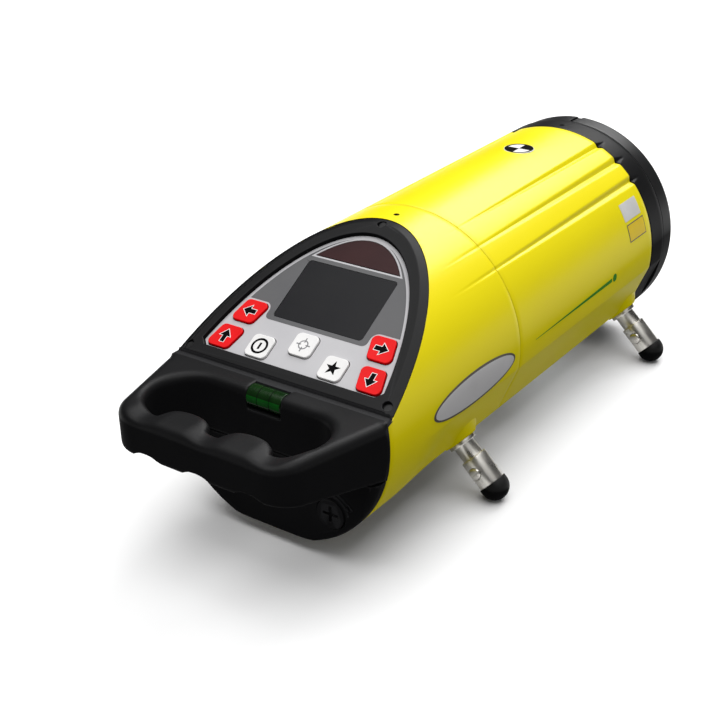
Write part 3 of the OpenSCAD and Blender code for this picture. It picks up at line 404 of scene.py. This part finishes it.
# Panel frame and its screws: a black moulding on the sloped cut of the rear housing, with a bevelled
# outer rim. Three small screws hold it, sunk in its corners and its top.
softened("panel_bezel", "panel_frame", 0.3 * mm, black_plastic, steps=3, angle=18)
# The screws are blackened steel, and their near-black colour also paints the shade in their deep holes.
screw_black_and_hole_shade = finish("blackened_steel_and_hole_shade", screen(24, 24, 25), screen(16, 16, 17),
                     3 * mm, 0.4, 0.06, 0.25 * mm, 0.006 * mm, shine=0.3)
panel_screws = softened("bezel_screws", "panel_screws", 0.15 * mm, screw_black_and_hole_shade)
screw_sink = 0.9 * mm
for vertex in panel_screws.data.vertices:
    if (vertex.co - panel_foot).dot(panel_out) > screw_sink:
        vertex.co -= panel_out * screw_sink

# Keypad film: a printed grey plastic film let into the frame. A darker field lies behind the display,
# and the paler film shows as a rim along the arch and round the infrared window.
film_grey = finish("printed_film", screen(192, 191, 193), screen(184, 183, 186),
                   25 * mm, 0.45, 0.05, 0.3 * mm, 0.004 * mm, shine=0.25)
field_grey = finish("printed_field", screen(99, 99, 100), screen(91, 91, 93),
                    25 * mm, 0.42, 0.05, 0.3 * mm, 0.004 * mm, shine=0.25)
print_t = 0.05 * mm
arch_drop = 20
field_low, rim_low = 28.9, 52.7


def panel_point(x, v, w):
    """Point over the panel, in millimetres across, up the slope and out from it."""
    return panel_foot + Vector((x * mm, 0, 0)) + panel_up * (v * mm) + panel_out * (w * mm)


def arch(half, rise, low):
    """Points of an arch over the panel, from its right foot to its left."""
    first = math.degrees(math.asin((low + arch_drop) / rise))
    turns = [first + (180 - 2 * first) * k / 60 for k in range(61)]
    return [(polar(half, turn)[0], polar(rise, turn)[1] - arch_drop) for turn in turns]


def bow(x, v, r, start, end, count=6):
    """Points on an arc."""
    reaches = [polar(r, start + (end - start) * k / count) for k in range(count + 1)]
    return [(x + a, v + b) for a, b in reaches]


def print_plate(name, outline, place, thick):
    """Flat plate with an outline, thickened outwards from where it lies."""
    bpy.ops.object.select_all(action="DESELECT")
    bpy.ops.mesh.primitive_circle_add(vertices=len(outline), radius=1, fill_type="NGON")
    piece = bpy.context.object
    piece.name = name
    for vertex, point in zip(piece.data.vertices, outline):
        vertex.co = place(*point)
    bpy.ops.object.mode_set(mode="EDIT")
    bpy.ops.mesh.select_all(action="SELECT")
    bpy.ops.mesh.extrude_region_move(TRANSFORM_OT_translate={"value": thick})
    bpy.ops.mesh.select_all(action="SELECT")
    bpy.ops.mesh.normals_make_consistent(inside=False)
    bpy.ops.object.mode_set(mode="OBJECT")
    return piece


def printed(piece, material, body):
    """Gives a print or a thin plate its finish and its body."""
    piece.data.materials.append(material)
    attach(piece, body)


def combined(piece, other, way):
    """Cuts or meets a piece with another, which is then thrown away."""
    picked(piece)
    cut = piece.modifiers.new("cut", "BOOLEAN")
    cut.operation = way
    cut.object = other
    cut.solver = "EXACT"
    bpy.ops.object.modifier_apply(modifier="cut")
    bpy.data.objects.remove(other)


softened("keypad_overlay", "keypad_film", 0.12 * mm, film_grey)
border = bow(25.2, 25.9, 3, 90, 180) + bow(20.2, 24.3, 2, 0, -90)
field_outline = arch(40, 85.7, field_low) + [(-x, v) for x, v in border] + list(reversed(border))
field = print_plate("keypad_field", field_outline, lambda x, v: panel_point(x, v, -0.3),
                    panel_out * (0.5 * mm))
sheet = bpy.data.objects.new("sheet", frame["nodes"]["keypad_overlay"].data.copy())
bpy.context.scene.collection.objects.link(sheet)
picked(sheet)
bpy.ops.object.mode_set(mode="EDIT")
bpy.ops.mesh.select_all(action="SELECT")
bpy.ops.mesh.remove_doubles(threshold=1e-6)
bpy.ops.transform.translate(value=panel_out * print_t)
bpy.ops.object.mode_set(mode="OBJECT")
combined(field, sheet, "INTERSECT")
rim_cut = print_plate("rim_cut", arch(37.8, 85.9, rim_low), lambda x, v: panel_point(x, v, -1),
                      panel_out * (2 * mm))
combined(field, rim_cut, "DIFFERENCE")
field.data.materials.clear()
printed(field, field_grey, "housing")

# Display and infrared windows: clear hard-coated plates, flush in the film. The display is dark while
# it is off, and the infrared filter is a deep brownish red.
display_dark = finish("display_cover", screen(32, 32, 34), screen(28, 28, 31),
                      20 * mm, 0.3, 0.03, 2 * mm, 0.001 * mm, shine=0.12)
infrared_dark = finish("infrared_filter", screen(56, 30, 31), screen(48, 25, 27),
                       20 * mm, 0.3, 0.03, 2 * mm, 0.001 * mm, shine=0.12)
softened("display_window", "display_cover", 0.15 * mm, display_dark)
softened("ir_window", "infrared_cover", 0.15 * mm, infrared_dark)

# Keys: moulded caps that stand proud of the film and press in, four red ones with arrows and three white
# ones with signs for on and off, mark and target. The signs are printed on the tops.
key_red = finish("red_key", screen(230, 14, 20), screen(222, 11, 16),
                 8 * mm, 0.42, 0.05, 0.3 * mm, 0.006 * mm, shine=0.14)
key_white = finish("white_key", screen(234, 233, 232), screen(228, 227, 226),
                   8 * mm, 0.38, 0.05, 0.3 * mm, 0.006 * mm)
ink_black = finish("black_ink", screen(14, 14, 15), screen(11, 11, 12),
                   4 * mm, 0.5, 0.05, 0.2 * mm, 0.002 * mm, shine=0.02)
ink_white = finish("white_ink", screen(245, 245, 244), screen(238, 238, 237),
                   4 * mm, 0.45, 0.05, 0.2 * mm, 0.002 * mm)
ink_grey = finish("grey_ink", screen(128, 128, 130), screen(118, 118, 121),
                  4 * mm, 0.45, 0.05, 0.2 * mm, 0.002 * mm)
key_places = {"left": (-28.9, 23), "right": (28.9, 23), "up": (-31.9, 10.5), "down": (31.9, 10.5),
              "power": (-16, 10.5), "star": (16, 10.5), "target": (0, 15.9)}
key_proud, key_share = 1.2, 0.7
key_top = key_proud * key_share
ink_t = 0.02
arrow = [(-0.9, -2.75), (0.9, -2.75), (0.9, -0.05), (2.3, -0.05), (0, 2.75), (-2.3, -0.05), (-0.9, -0.05)]
arrow_edge = [(-1.12, -2.97), (1.12, -2.97), (1.12, -0.27), (2.8, -0.27), (0, 3.12), (-2.8, -0.27),
              (-1.12, -0.27)]
power_bar = [(-0.45, -1.4), (0.45, -1.4), (0.45, 1.4), (-0.45, 1.4)]
target_line = [(-0.22, 1), (0.22, 1), (0.22, 2.9), (-0.22, 2.9)]
arrow_turns = {"up": 0, "left": 90, "down": 180, "right": 270}


def key_sign(key, name, outline, turn, low, ink):
    """Printed sign on a key's top."""
    x0, v0 = key_places[key]
    c, s = polar(1, turn)
    turned_outline = [(x0 + x * c - v * s, v0 + x * s + v * c) for x, v in outline]
    piece = print_plate(name, turned_outline, lambda x, v: panel_point(x, v, key_top + low),
                        panel_out * (ink_t * mm))
    printed(piece, ink, "key_%s_cap" % key)


def key_ring(key, name, inner, outer, low, ink):
    """Printed ring on a key's top."""
    x0, v0 = key_places[key]
    profile = ((inner, low), (inner, low + ink_t), (outer, low + ink_t), (outer, low), (inner, low))

    def ring_point(turn, row):
        x, v = polar(row[0], turn)
        return panel_point(x0 + x, v0 + v, key_top + row[1])

    piece = formed_sheet(name, circle(48), profile, ring_point)
    printed(piece, ink, "key_%s_cap" % key)


def key_cap(key, material):
    """Soft-edged cap with its top lowered towards the film."""
    cap = softened("key_" + key, "cap_" + key, 0.3 * mm, material, steps=3)
    for vertex in cap.data.vertices:
        rise = (vertex.co - panel_foot).dot(panel_out)
        if rise > 0:
            vertex.co -= panel_out * (rise * (1 - key_share))


for key, turn in arrow_turns.items():
    key_cap(key, key_red)
    key_sign(key, "arrow_edge_" + key, arrow_edge, turn, 0, ink_white)
    key_sign(key, "arrow_" + key, arrow, turn, ink_t, ink_black)
for key in ("power", "star", "target"):
    key_cap(key, key_white)
key_ring("power", "power_ring", 2.45, 3.35, 0, ink_black)
key_sign("power", "power_bar", power_bar, 0, 0, ink_black)
star = [point for k in range(5) for point in (polar(3.1, 90 + 72 * k), polar(1.25, 126 + 72 * k))]
key_sign("star", "star_sign", star, 0, 0, ink_black)
key_ring("target", "target_ring", 1.5, 1.95, 0, ink_grey)
for k in range(4):
    key_sign("target", "target_line_%d" % k, target_line, 90 * k, ink_t, ink_grey)

# Handle: a black moulding over the rear end with a long finger hole. Its bar has rounded edges, two
# broad ridges between the fingers and a wavy underside. Thin lips close it to the panel and the cover.
finger_places, ridge_places = (-24, 2.8, 28.5), (-10.6, 15.7)
finger_half, finger_low = 8.5, 1.5
ridge_high, ridge_pitch = 4.5, 22
broad_high, broad_half, bar_swell = 5.7, 9.8, 0.8
hole_ends = (26, 34)
bar_inner, bar_outer, bar_top, bar_height = (-121, -116), (-132, -126), (-135, -130), (-4, 9)
root_y, root_flare = -92 * mm, 0.35
edge_y, edge_rise, edge_half = -94 * mm, (9.9 * mm, 10.2 * mm), 0.04
edge_step, edge_proud = 0.6 * mm, 0.05 * mm
edge_outlines = {
    "handle_top_edge": ((-91.4, 8.4), (-91.2, 9.85), (-88.4, 10.3), (-88, 11.4), (-87.2, 10.1), (-88.2, 9.2)),
    "handle_low_edge": ((-96.6, -12.05), (-97, -11), (-96.5, -9), (-91, -9), (-91, -12.05)),
}


def ramp(value, start, end):
    """Soft step from zero to one between two values."""
    t = min(1, max(0, (value - start) / (end - start)))
    return t * t * (3 - 2 * t)


def finger(x):
    """Share of a finger groove's depth at a place along the bar, in millimetres."""
    return max(0.5 + 0.5 * math.cos(math.pi * min(1, abs(x - centre) / finger_half))
               for centre in finger_places)


def ridge(x):
    """Height of the plain ridges along the bar, in millimetres."""
    return ridge_high * (1 - math.cos(2 * math.pi * x / ridge_pitch)) / 2 if abs(x) < ridge_pitch else 0


def broad_ridge(x):
    """Share of a broad ridge's height along the bar, with steep sides and a round top."""
    return max(math.sqrt(max(0, 1 - ((x - centre) / broad_half) ** 2)) for centre in ridge_places)


handle = copied("handle", "carrying_handle")
even = handle.modifiers.new("even", "REMESH")
even.mode = "VOXEL"
even.voxel_size = 0.5 * mm
bpy.ops.object.modifier_apply(modifier="even")
for vertex in handle.data.vertices:
    x, y, z = vertex.co.x / mm, vertex.co.y / mm, (vertex.co.z - axis_z) / mm
    bar = (1 - ramp(y, *bar_inner)) * ramp(z, *bar_height)
    swell = bar_swell * (1 - ramp(abs(x), *hole_ends)) + broad_high * broad_ridge(x) - ridge(x)
    vertex.co.y += swell * mm * bar * ramp(y, *bar_outer)
    vertex.co.z -= finger_low * mm * finger(x) * bar * ramp(y, *bar_top)
    room = body_r + root_flare * max(0, root_y - vertex.co.y)
    half = math.sqrt(room ** 2 - (vertex.co.z - axis_z) ** 2)
    vertex.co.x = max(-half, min(half, vertex.co.x))
soft = handle.modifiers.new("soft", "SMOOTH")
soft.factor = 0.5
soft.iterations = 5
bpy.ops.object.modifier_apply(modifier="soft")
bpy.ops.object.shade_smooth()
handle_edges = []
for name, outline in edge_outlines.items():
    edge = print_plate(name, outline, lambda y, z: Vector((-edge_half, y * mm, axis_z + z * mm)),
                       Vector((2 * edge_half, 0, 0)))
    for vertex in edge.data.vertices:
        high = vertex.co.z - axis_z
        room = body_r - max(0, edge_y - vertex.co.y) - edge_step * ramp(high, *edge_rise)
        half = math.sqrt(room ** 2 - high ** 2) + edge_proud
        vertex.co.x = math.copysign(half, vertex.co.x)
    handle_edges.append(edge)
handle = joined([handle] + handle_edges)
dressed(handle, black_plastic, "handle")

# Level vial: a sealed clear tube of green spirit with an air bubble, laid across a notch in the finger
# hole's front edge. Two fine rings on the tube frame the bubble.
vial_green = finish("green_spirit", screen(24, 54, 22), screen(16, 38, 15),
                    6 * mm, 0.14, 0.03, 1 * mm, 0.001 * mm, shine=0.15)
vial_green.node_tree.nodes["Principled BSDF"].inputs["Transmission Weight"].default_value = 0.15
softened("level_vial", "vial", 0.4 * mm, vial_green, steps=3)
vial_y, vial_z, vial_r = -93.8 * mm, axis_z + 6.1 * mm, 3.9 * mm
band = [(-0.13, 0), (-0.13, 0.03), (0.13, 0.03), (0.13, 0), (-0.13, 0)]
# The last two values and the turns below place a painted highlight band on the tube.
ring_x, highlight_half, highlight_out = 2.6, 7.1, 0.02
highlight_turns = [158 + 2.0 * k for k in range(21)]


def vial_point(x, turn, out):
    """Point on the vial's tube, in millimetres along it and out from it."""
    forwards, upwards = polar(vial_r + out * mm, turn)
    return Vector((x * mm, vial_y + forwards, vial_z + upwards))


for k, x in enumerate((-ring_x, ring_x)):
    ring = formed_sheet("vial_ring_%d" % k, circle(60), band,
                        lambda turn, row: vial_point(x + row[0], turn, row[1]))
    printed(ring, ink_black, "housing")
# A paler green band along the tube's rear side, facing the handle, is a painted highlight on the spirit, not
# its colour.
painted_spirit_highlight = finish("spirit_painted_highlight", screen(22, 92, 28), screen(18, 76, 24),
                      6 * mm, 0.14, 0.03, 1 * mm, 0.001 * mm, shine=0.3)
lit = formed_sheet("vial_painted_highlight", highlight_turns, (-highlight_half, highlight_half),
                   lambda turn, x: vial_point(x, turn, highlight_out))
printed(lit, painted_spirit_highlight, "housing")

# Battery pack: a rounded black cover under the handle carries the cell case, which slides into a bay. The
# lock is a slotted knob with a cam behind it, and the cover has turning marks and a pointer round it.
inner_black = finish("inner_plastic", screen(38, 38, 40), screen(30, 30, 32),
                     20 * mm, 0.55, 0.05, 0.6 * mm, 0.015 * mm)
cell_wrap = finish("cell_wrap", screen(122, 126, 132), screen(108, 112, 118),
                   15 * mm, 0.3, 0.05, 1 * mm, 0.003 * mm)
brass = finish("plated_brass", screen(206, 172, 96), screen(186, 150, 78),
               3 * mm, 0.28, 0.06, 0.2 * mm, 0.004 * mm, metal=1)
softened("battery_cover", "pack_cover", 0.6 * mm, black_plastic, steps=3)
softened("battery_case", "pack_case", 0.3 * mm, inner_black)
softened("battery_cells", "pack_cells", 0.5 * mm, cell_wrap)
softened("battery_contacts", "pack_contacts", 0.1 * mm, brass)
softened("battery_bay", "pack_bay", 0.2 * mm, inner_black)
softened("bay_contacts", "bay_springs", 0.1 * mm, brass)
softened("lock_knob", "knob", 0.2 * mm, black_plastic)
softened("lock_cam", "cam", 0.2 * mm, steel)
lock_x, lock_y, lock_z = 27.007, -97, -28.961
mark_sunk, mark_t, mark_wide = 0.1, 0.35 * mm, 0.8


def cover_point(x, z, out):
    """Point on the cover's rear face, in millimetres from the lock."""
    return Vector(((lock_x + x) * mm, (lock_y - out) * mm, axis_z + (lock_z + z) * mm))


mark_outlines = {}
for k, (r, start, end) in enumerate(((7.2, 10, 78), (8.8, 24, 70))):
    outer = bow(0, 0, r + mark_wide, end, start, 14)
    mark_outlines["turning_mark_%d" % k] = bow(0, 0, r, start, end, 14) + outer
mark_outlines["pointer"] = [(6.6, 3.4), (9.6, 4.4), (7.4, 6.6)]
for name, outline in mark_outlines.items():
    mark = print_plate(name, outline, lambda x, z: cover_point(x, z, -mark_sunk), Vector((0, -mark_t, 0)))
    printed(mark, black_plastic, "battery")

# Legs and feet: turned steel legs screwed into the pads, each a flange, a shank and a thicker sleeve that a
# small slotted screw holds, with a black rubber ball pushed on its end.
sleeve_r, sleeve_end, shank_r, flange_r, stud_r, peg_r = 5.2, 66.5, 4.2, 5.6, 3.5, 2.5
leg_profile = ((0, 42.3), (stud_r, 42.3), (stud_r, 47.3), (flange_r, 47.3), (flange_r, 48.8), (shank_r, 48.8),
               (shank_r, 54.8), (sleeve_r, 54.8), (sleeve_r, sleeve_end), (peg_r, sleeve_end), (peg_r, 70.5),
               (0, 70.5))
screw_reach, seat_back, seat_r = 60.2, 3.7, 2.5
seat_profile = ((0, seat_back), (seat_r, seat_back), (seat_r, 8), (0, 8))
screw_profile = ((0, 1.5), (2.3, 1.5), (2.3, 5.25), (2.15, 5.47), (1.75, 5.62), (1.2, 5.75), (0.6, 5.82),
                 (0, 5.84))
slot_half, slot_back, slot_end = 0.35, 5, 4
slot_ends = ((-slot_end, 0), (-slot_end, 1), (slot_end, 1), (slot_end, 0))
slot_profile = ((-1, 0), (1, 0), (1, 4), (-1, 4), (-1, 0))


def turned(name, rows, place, width):
    """Turned piece from rows of radius and reach, with its edges broken."""
    piece = formed_sheet(name, circle(96), rows,
                         lambda turn, row: place(*polar(row[0], turn), row[1]))
    bevel = piece.modifiers.new("edges", "BEVEL")
    bevel.width = width
    bevel.segments = 3
    bevel.limit_method = "ANGLE"
    bevel.angle_limit = math.radians(50)
    bpy.ops.object.modifier_apply(modifier="edges")
    return piece


sleeve_screws = []
for side, hand in ((-1, "left"), (1, "right")):
    for end, y in leg_rows.items():
        place = end + "_" + hand

        def along_leg(across, back, reach):
            return leg_point(side, y, across, back, reach)

        def through_leg(across, reach, back):
            return leg_point(side, y, across, back, screw_reach + reach)

        leg = turned("steel_leg_" + place, leg_profile, along_leg, 0.18 * mm)
        combined(leg, turned("screw_seat", seat_profile, through_leg, 0.01 * mm), "DIFFERENCE")
        smoothed(leg)
        dressed(leg, steel, "leg_" + place)
        screw = turned("sleeve_screw", screw_profile, through_leg, 0.02 * mm)
        slot = formed_sheet("slot", slot_ends, slot_profile,
                            lambda ends, row: through_leg(ends[0], ends[1] * row[0] * slot_half,
                                                          slot_back + ends[1] * row[1]))
        combined(screw, slot, "DIFFERENCE")
        smoothed(screw)
        sleeve_screws.append(screw)
        softened("foot_" + place, "rubber_foot_" + place, 0.3 * mm, rubber)
sleeve_screws = joined(sleeve_screws)
sleeve_screws.name = "sleeve_screws"
smoothed(sleeve_screws)
dressed(sleeve_screws, steel, "leg_screws")

# Beam unit and boards inside: an aluminium fork on the belly turns the tube sideways, and the tube tips on
# two pins in the fork's arms. A diode sits behind, a lens in front, and two small motors drive the turns.
# The green boards are held by posts of the panel frame and of the battery bay.
machined = finish("machined_aluminium", screen(176, 178, 182), screen(158, 160, 164),
                  12 * mm, 0.36, 0.06, 0.3 * mm, 0.006 * mm, metal=1)
board_green = finish("circuit_board", screen(28, 92, 48), screen(20, 76, 40),
                     6 * mm, 0.4, 0.06, 0.8 * mm, 0.01 * mm)
softened("gimbal_base", "fork_base", 0.25 * mm, machined)
softened("line_yoke", "fork", 0.25 * mm, machined)
softened("laser_tube", "beam_tube", 0.25 * mm, ring_black)
softened("collimator_lens", "beam_lens", 0.3 * mm, beam_glass)
softened("laser_diode", "diode", 0.2 * mm, brass)
softened("line_motor", "line_drive", 0.25 * mm, ring_black)
softened("grade_motor", "grade_drive", 0.25 * mm, ring_black)
softened("lcd_module", "display_module", 0.2 * mm, display_dark)
softened("display_board", "key_board", 0.1 * mm, board_green)
softened("main_board", "control_board", 0.1 * mm, board_green)
softened("ir_receiver", "infrared_eye", 0.2 * mm, infrared_dark)

# Marks on the housing: a quartered sighting target let into the top, two small black dots on the top line,
# and on the right side a bare oval plate, two bare labels and a plain green stripe.
mark_white = finish("target_white", screen(242, 242, 240), screen(234, 234, 232),
                    6 * mm, 0.22, 0.04, 0.5 * mm, 0.003 * mm)
plate_silver = finish("silver_plate", screen(206, 205, 206), screen(198, 197, 198),
                      14 * mm, 0.3, 0.05, 0.5 * mm, 0.003 * mm)
plate_edge = finish("plate_edge", screen(96, 92, 84), screen(84, 80, 74),
                    6 * mm, 0.4, 0.05, 0.4 * mm, 0.003 * mm)
label_grey = finish("grey_label", screen(214, 214, 212), screen(204, 204, 203),
                    8 * mm, 0.36, 0.05, 0.4 * mm, 0.003 * mm)
label_yellow = finish("yellow_label", screen(234, 202, 16), screen(228, 195, 12),
                      8 * mm, 0.36, 0.05, 0.4 * mm, 0.003 * mm)
stripe_green = finish("green_stripe", screen(40, 140, 20), screen(32, 124, 16),
                      8 * mm, 0.32, 0.04, 0.4 * mm, 0.002 * mm)
softened("rotation_mark", "target_disc", 0.15 * mm, mark_white)
mark_y, quarter_r = 75.4, 5.4
quarter_sunk, quarter_t = 0.02, 0.04 * mm


def top_point(x, y, out):
    """Point over the top line, in millimetres."""
    return Vector((x * mm, y * mm, axis_z + body_r + out * mm))


def top_ring_point(turn, y, row):
    """Point round a place on the top line, from a row of radius and height."""
    x, forwards = polar(row[0], turn)
    return top_point(x, y + forwards, row[1])


for k, turn in enumerate((0, 180)):
    outline = [(0, 0)] + bow(0, 0, quarter_r, turn, turn + 90, 12)
    quarter = print_plate("target_quarter_%d" % k, outline,
                          lambda x, y: top_point(x, mark_y + y, -quarter_sunk), Vector((0, 0, quarter_t)))
    printed(quarter, ink_black, "housing")
rim_profile = ((5.1, -0.02), (5.1, 0.03), (6.05, 0.03), (6.05, -0.02), (5.1, -0.02))
rim = formed_sheet("target_rim", circle(48), rim_profile,
                   lambda turn, row: top_ring_point(turn, mark_y, row))
printed(rim, ink_black, "housing")
dot_profile = ((0, 0.02), (0.8, 0.03), (1.1, 0.03), (1.15, -0.4))
for name, y in (("rear_dot", -15.6), ("front_dot", 113.3)):
    dot = formed_sheet(name, circle(24), dot_profile,
                       lambda turn, row: top_ring_point(turn, y, row))
    printed(dot, ink_black, "housing")


def side_point(y, arc, out):
    """Point on the right side, in millimetres along the length and round it from the middle height."""
    turn = math.degrees(arc * mm / body_r)
    x, z = polar(section_reach(turn, y * mm) - groove_fall(turn, y * mm) + out * mm, turn)
    return Vector((x, y * mm, axis_z + z))


def side_plate(name, outline, thick, material):
    """Thin plate that follows the housing's side, from a list of rows across it."""
    piece = formed_sheet(name, range(len(outline[0])), outline, lambda i, row: side_point(*row[i], thick))
    skin = piece.modifiers.new("skin", "SOLIDIFY")
    skin.thickness = thick * mm
    skin.offset = -1
    bpy.ops.object.modifier_apply(modifier="skin")
    smoothed(piece)
    printed(piece, material, "housing")


def oval_rows(y, arc, half_len, half_wide):
    """Rows of a square grid pressed into an oval."""
    steps = [k / 12 - 1 for k in range(25)]
    return [[(y + half_len * u * math.sqrt(1 - v * v / 2), arc + half_wide * v * math.sqrt(1 - u * u / 2))
             for u in steps] for v in steps]


def label_rows(y, arc, half_len, half_wide):
    """Rows of a rectangle."""
    steps = [k / 4 - 1 for k in range(9)]
    return [[(y + half_len * u, arc + half_wide * v) for u in steps] for v in steps]


def stripe_rows(start, end, low, high, thin, thick):
    """Rows of a line that rises and widens along the side."""
    steps = [k / 40 for k in range(41)]
    return [[(start + (end - start) * t, low + (high - low) * t + e * (thin + (thick - thin) * t))
             for t in steps] for e in (-1, 0, 1)]


oval_y, oval_arc = -37, -0.5
side_plate("oval_edge", oval_rows(oval_y, oval_arc, 27.6, 6.6), 0.12, plate_edge)
side_plate("oval_plate", oval_rows(oval_y, oval_arc, 26.5, 5.65), 0.2, plate_silver)
stripe = stripe_rows(6.4, 70.6, 0.2, 1, 0.08, 0.8)
side_plate("stripe", stripe, 0.06, stripe_green)
side_plate("stripe_end", oval_rows(73.2, 1.2, 1.7, 1.7), 0.06, stripe_green)
side_plate("grey_label", label_rows(96.2, 23.8, 7.2, 3.9), 0.1, label_grey)
yellow_y, yellow_arc = 96.8, 14.7
side_plate("yellow_label_edge", label_rows(yellow_y, yellow_arc, 7.6, 3.8), 0.08, plate_edge)
side_plate("yellow_label", label_rows(yellow_y, yellow_arc, 7.15, 3.35), 0.12, label_yellow)

# Studio: a pale seamless floor, a key softbox behind the beam end, a broad softbox overhead, a white card
# that only reflections show, and a camera low over the handle's right side.
floor_skin = finish("studio_floor", (0.97, 0.97, 0.97, 1), (0.96, 0.96, 0.96, 1),
                    0.5, 0.7, 0.02, 2 * mm, 0.01 * mm)
bpy.ops.object.select_all(action="DESELECT")
bpy.ops.mesh.primitive_plane_add(size=12, location=(0, 0, 0))
floor = bpy.context.object
floor.name = "studio_floor"
floor.data.materials.append(floor_skin)
floor.visible_diffuse = False
for piece in (front_shell, rear_shell):
    piece.visible_diffuse = False
studio = bpy.data.worlds.new("studio")
studio.use_nodes = True
studio.node_tree.nodes["Background"].inputs["Color"].default_value = (1, 1, 1, 1)
studio.node_tree.nodes["Background"].inputs["Strength"].default_value = 0.28
studio.cycles_visibility.glossy = False
bpy.context.scene.world = studio
bpy.context.scene.view_settings.view_transform = "Standard"
lamps = (("key_softbox", (-0.1, 0.95, 1.0), 0.8, 10), ("top_softbox", (0, 0, 1.4), 1.8, 26),
         ("white_card", (0.585, -0.315, 0.54), 0.7, 0.9))
for name, place, size, power in lamps:
    lamp = bpy.data.lights.new(name, "AREA")
    lamp.shape = "SQUARE"
    lamp.size = size
    lamp.energy = power
    holder = bpy.data.objects.new(name, lamp)
    bpy.context.scene.collection.objects.link(holder)
    holder.visible_diffuse = name != "white_card"
    holder.location = place
    holder.rotation_euler = (Vector((0, 0, 0.05)) - Vector(place)).to_track_quat("-Z", "Y").to_euler()
sensor, focal_share = 36, 1355.3 / 720
camera_place = (0.2660, -0.4037, 0.2754)
swing, lift, roll = math.radians(36.25), math.radians(26.87), math.radians(-1.59)
lens = bpy.data.cameras.new("camera")
lens.sensor_width = sensor
lens.lens = focal_share * sensor
lens.clip_start = 0.01
camera = bpy.data.objects.new("camera", lens)
bpy.context.scene.collection.objects.link(camera)
back = Vector((math.sin(swing) * math.cos(lift), -math.cos(swing) * math.cos(lift), math.sin(lift)))
right = Vector((math.cos(swing), math.sin(swing), 0))
up = back.cross(right)
tilted = (right * math.cos(roll) + up * math.sin(roll), up * math.cos(roll) - right * math.sin(roll), back)
camera.matrix_world = Matrix.Translation(camera_place) @ Matrix(tilted).transposed().to_4x4()
bpy.context.scene.camera = camera
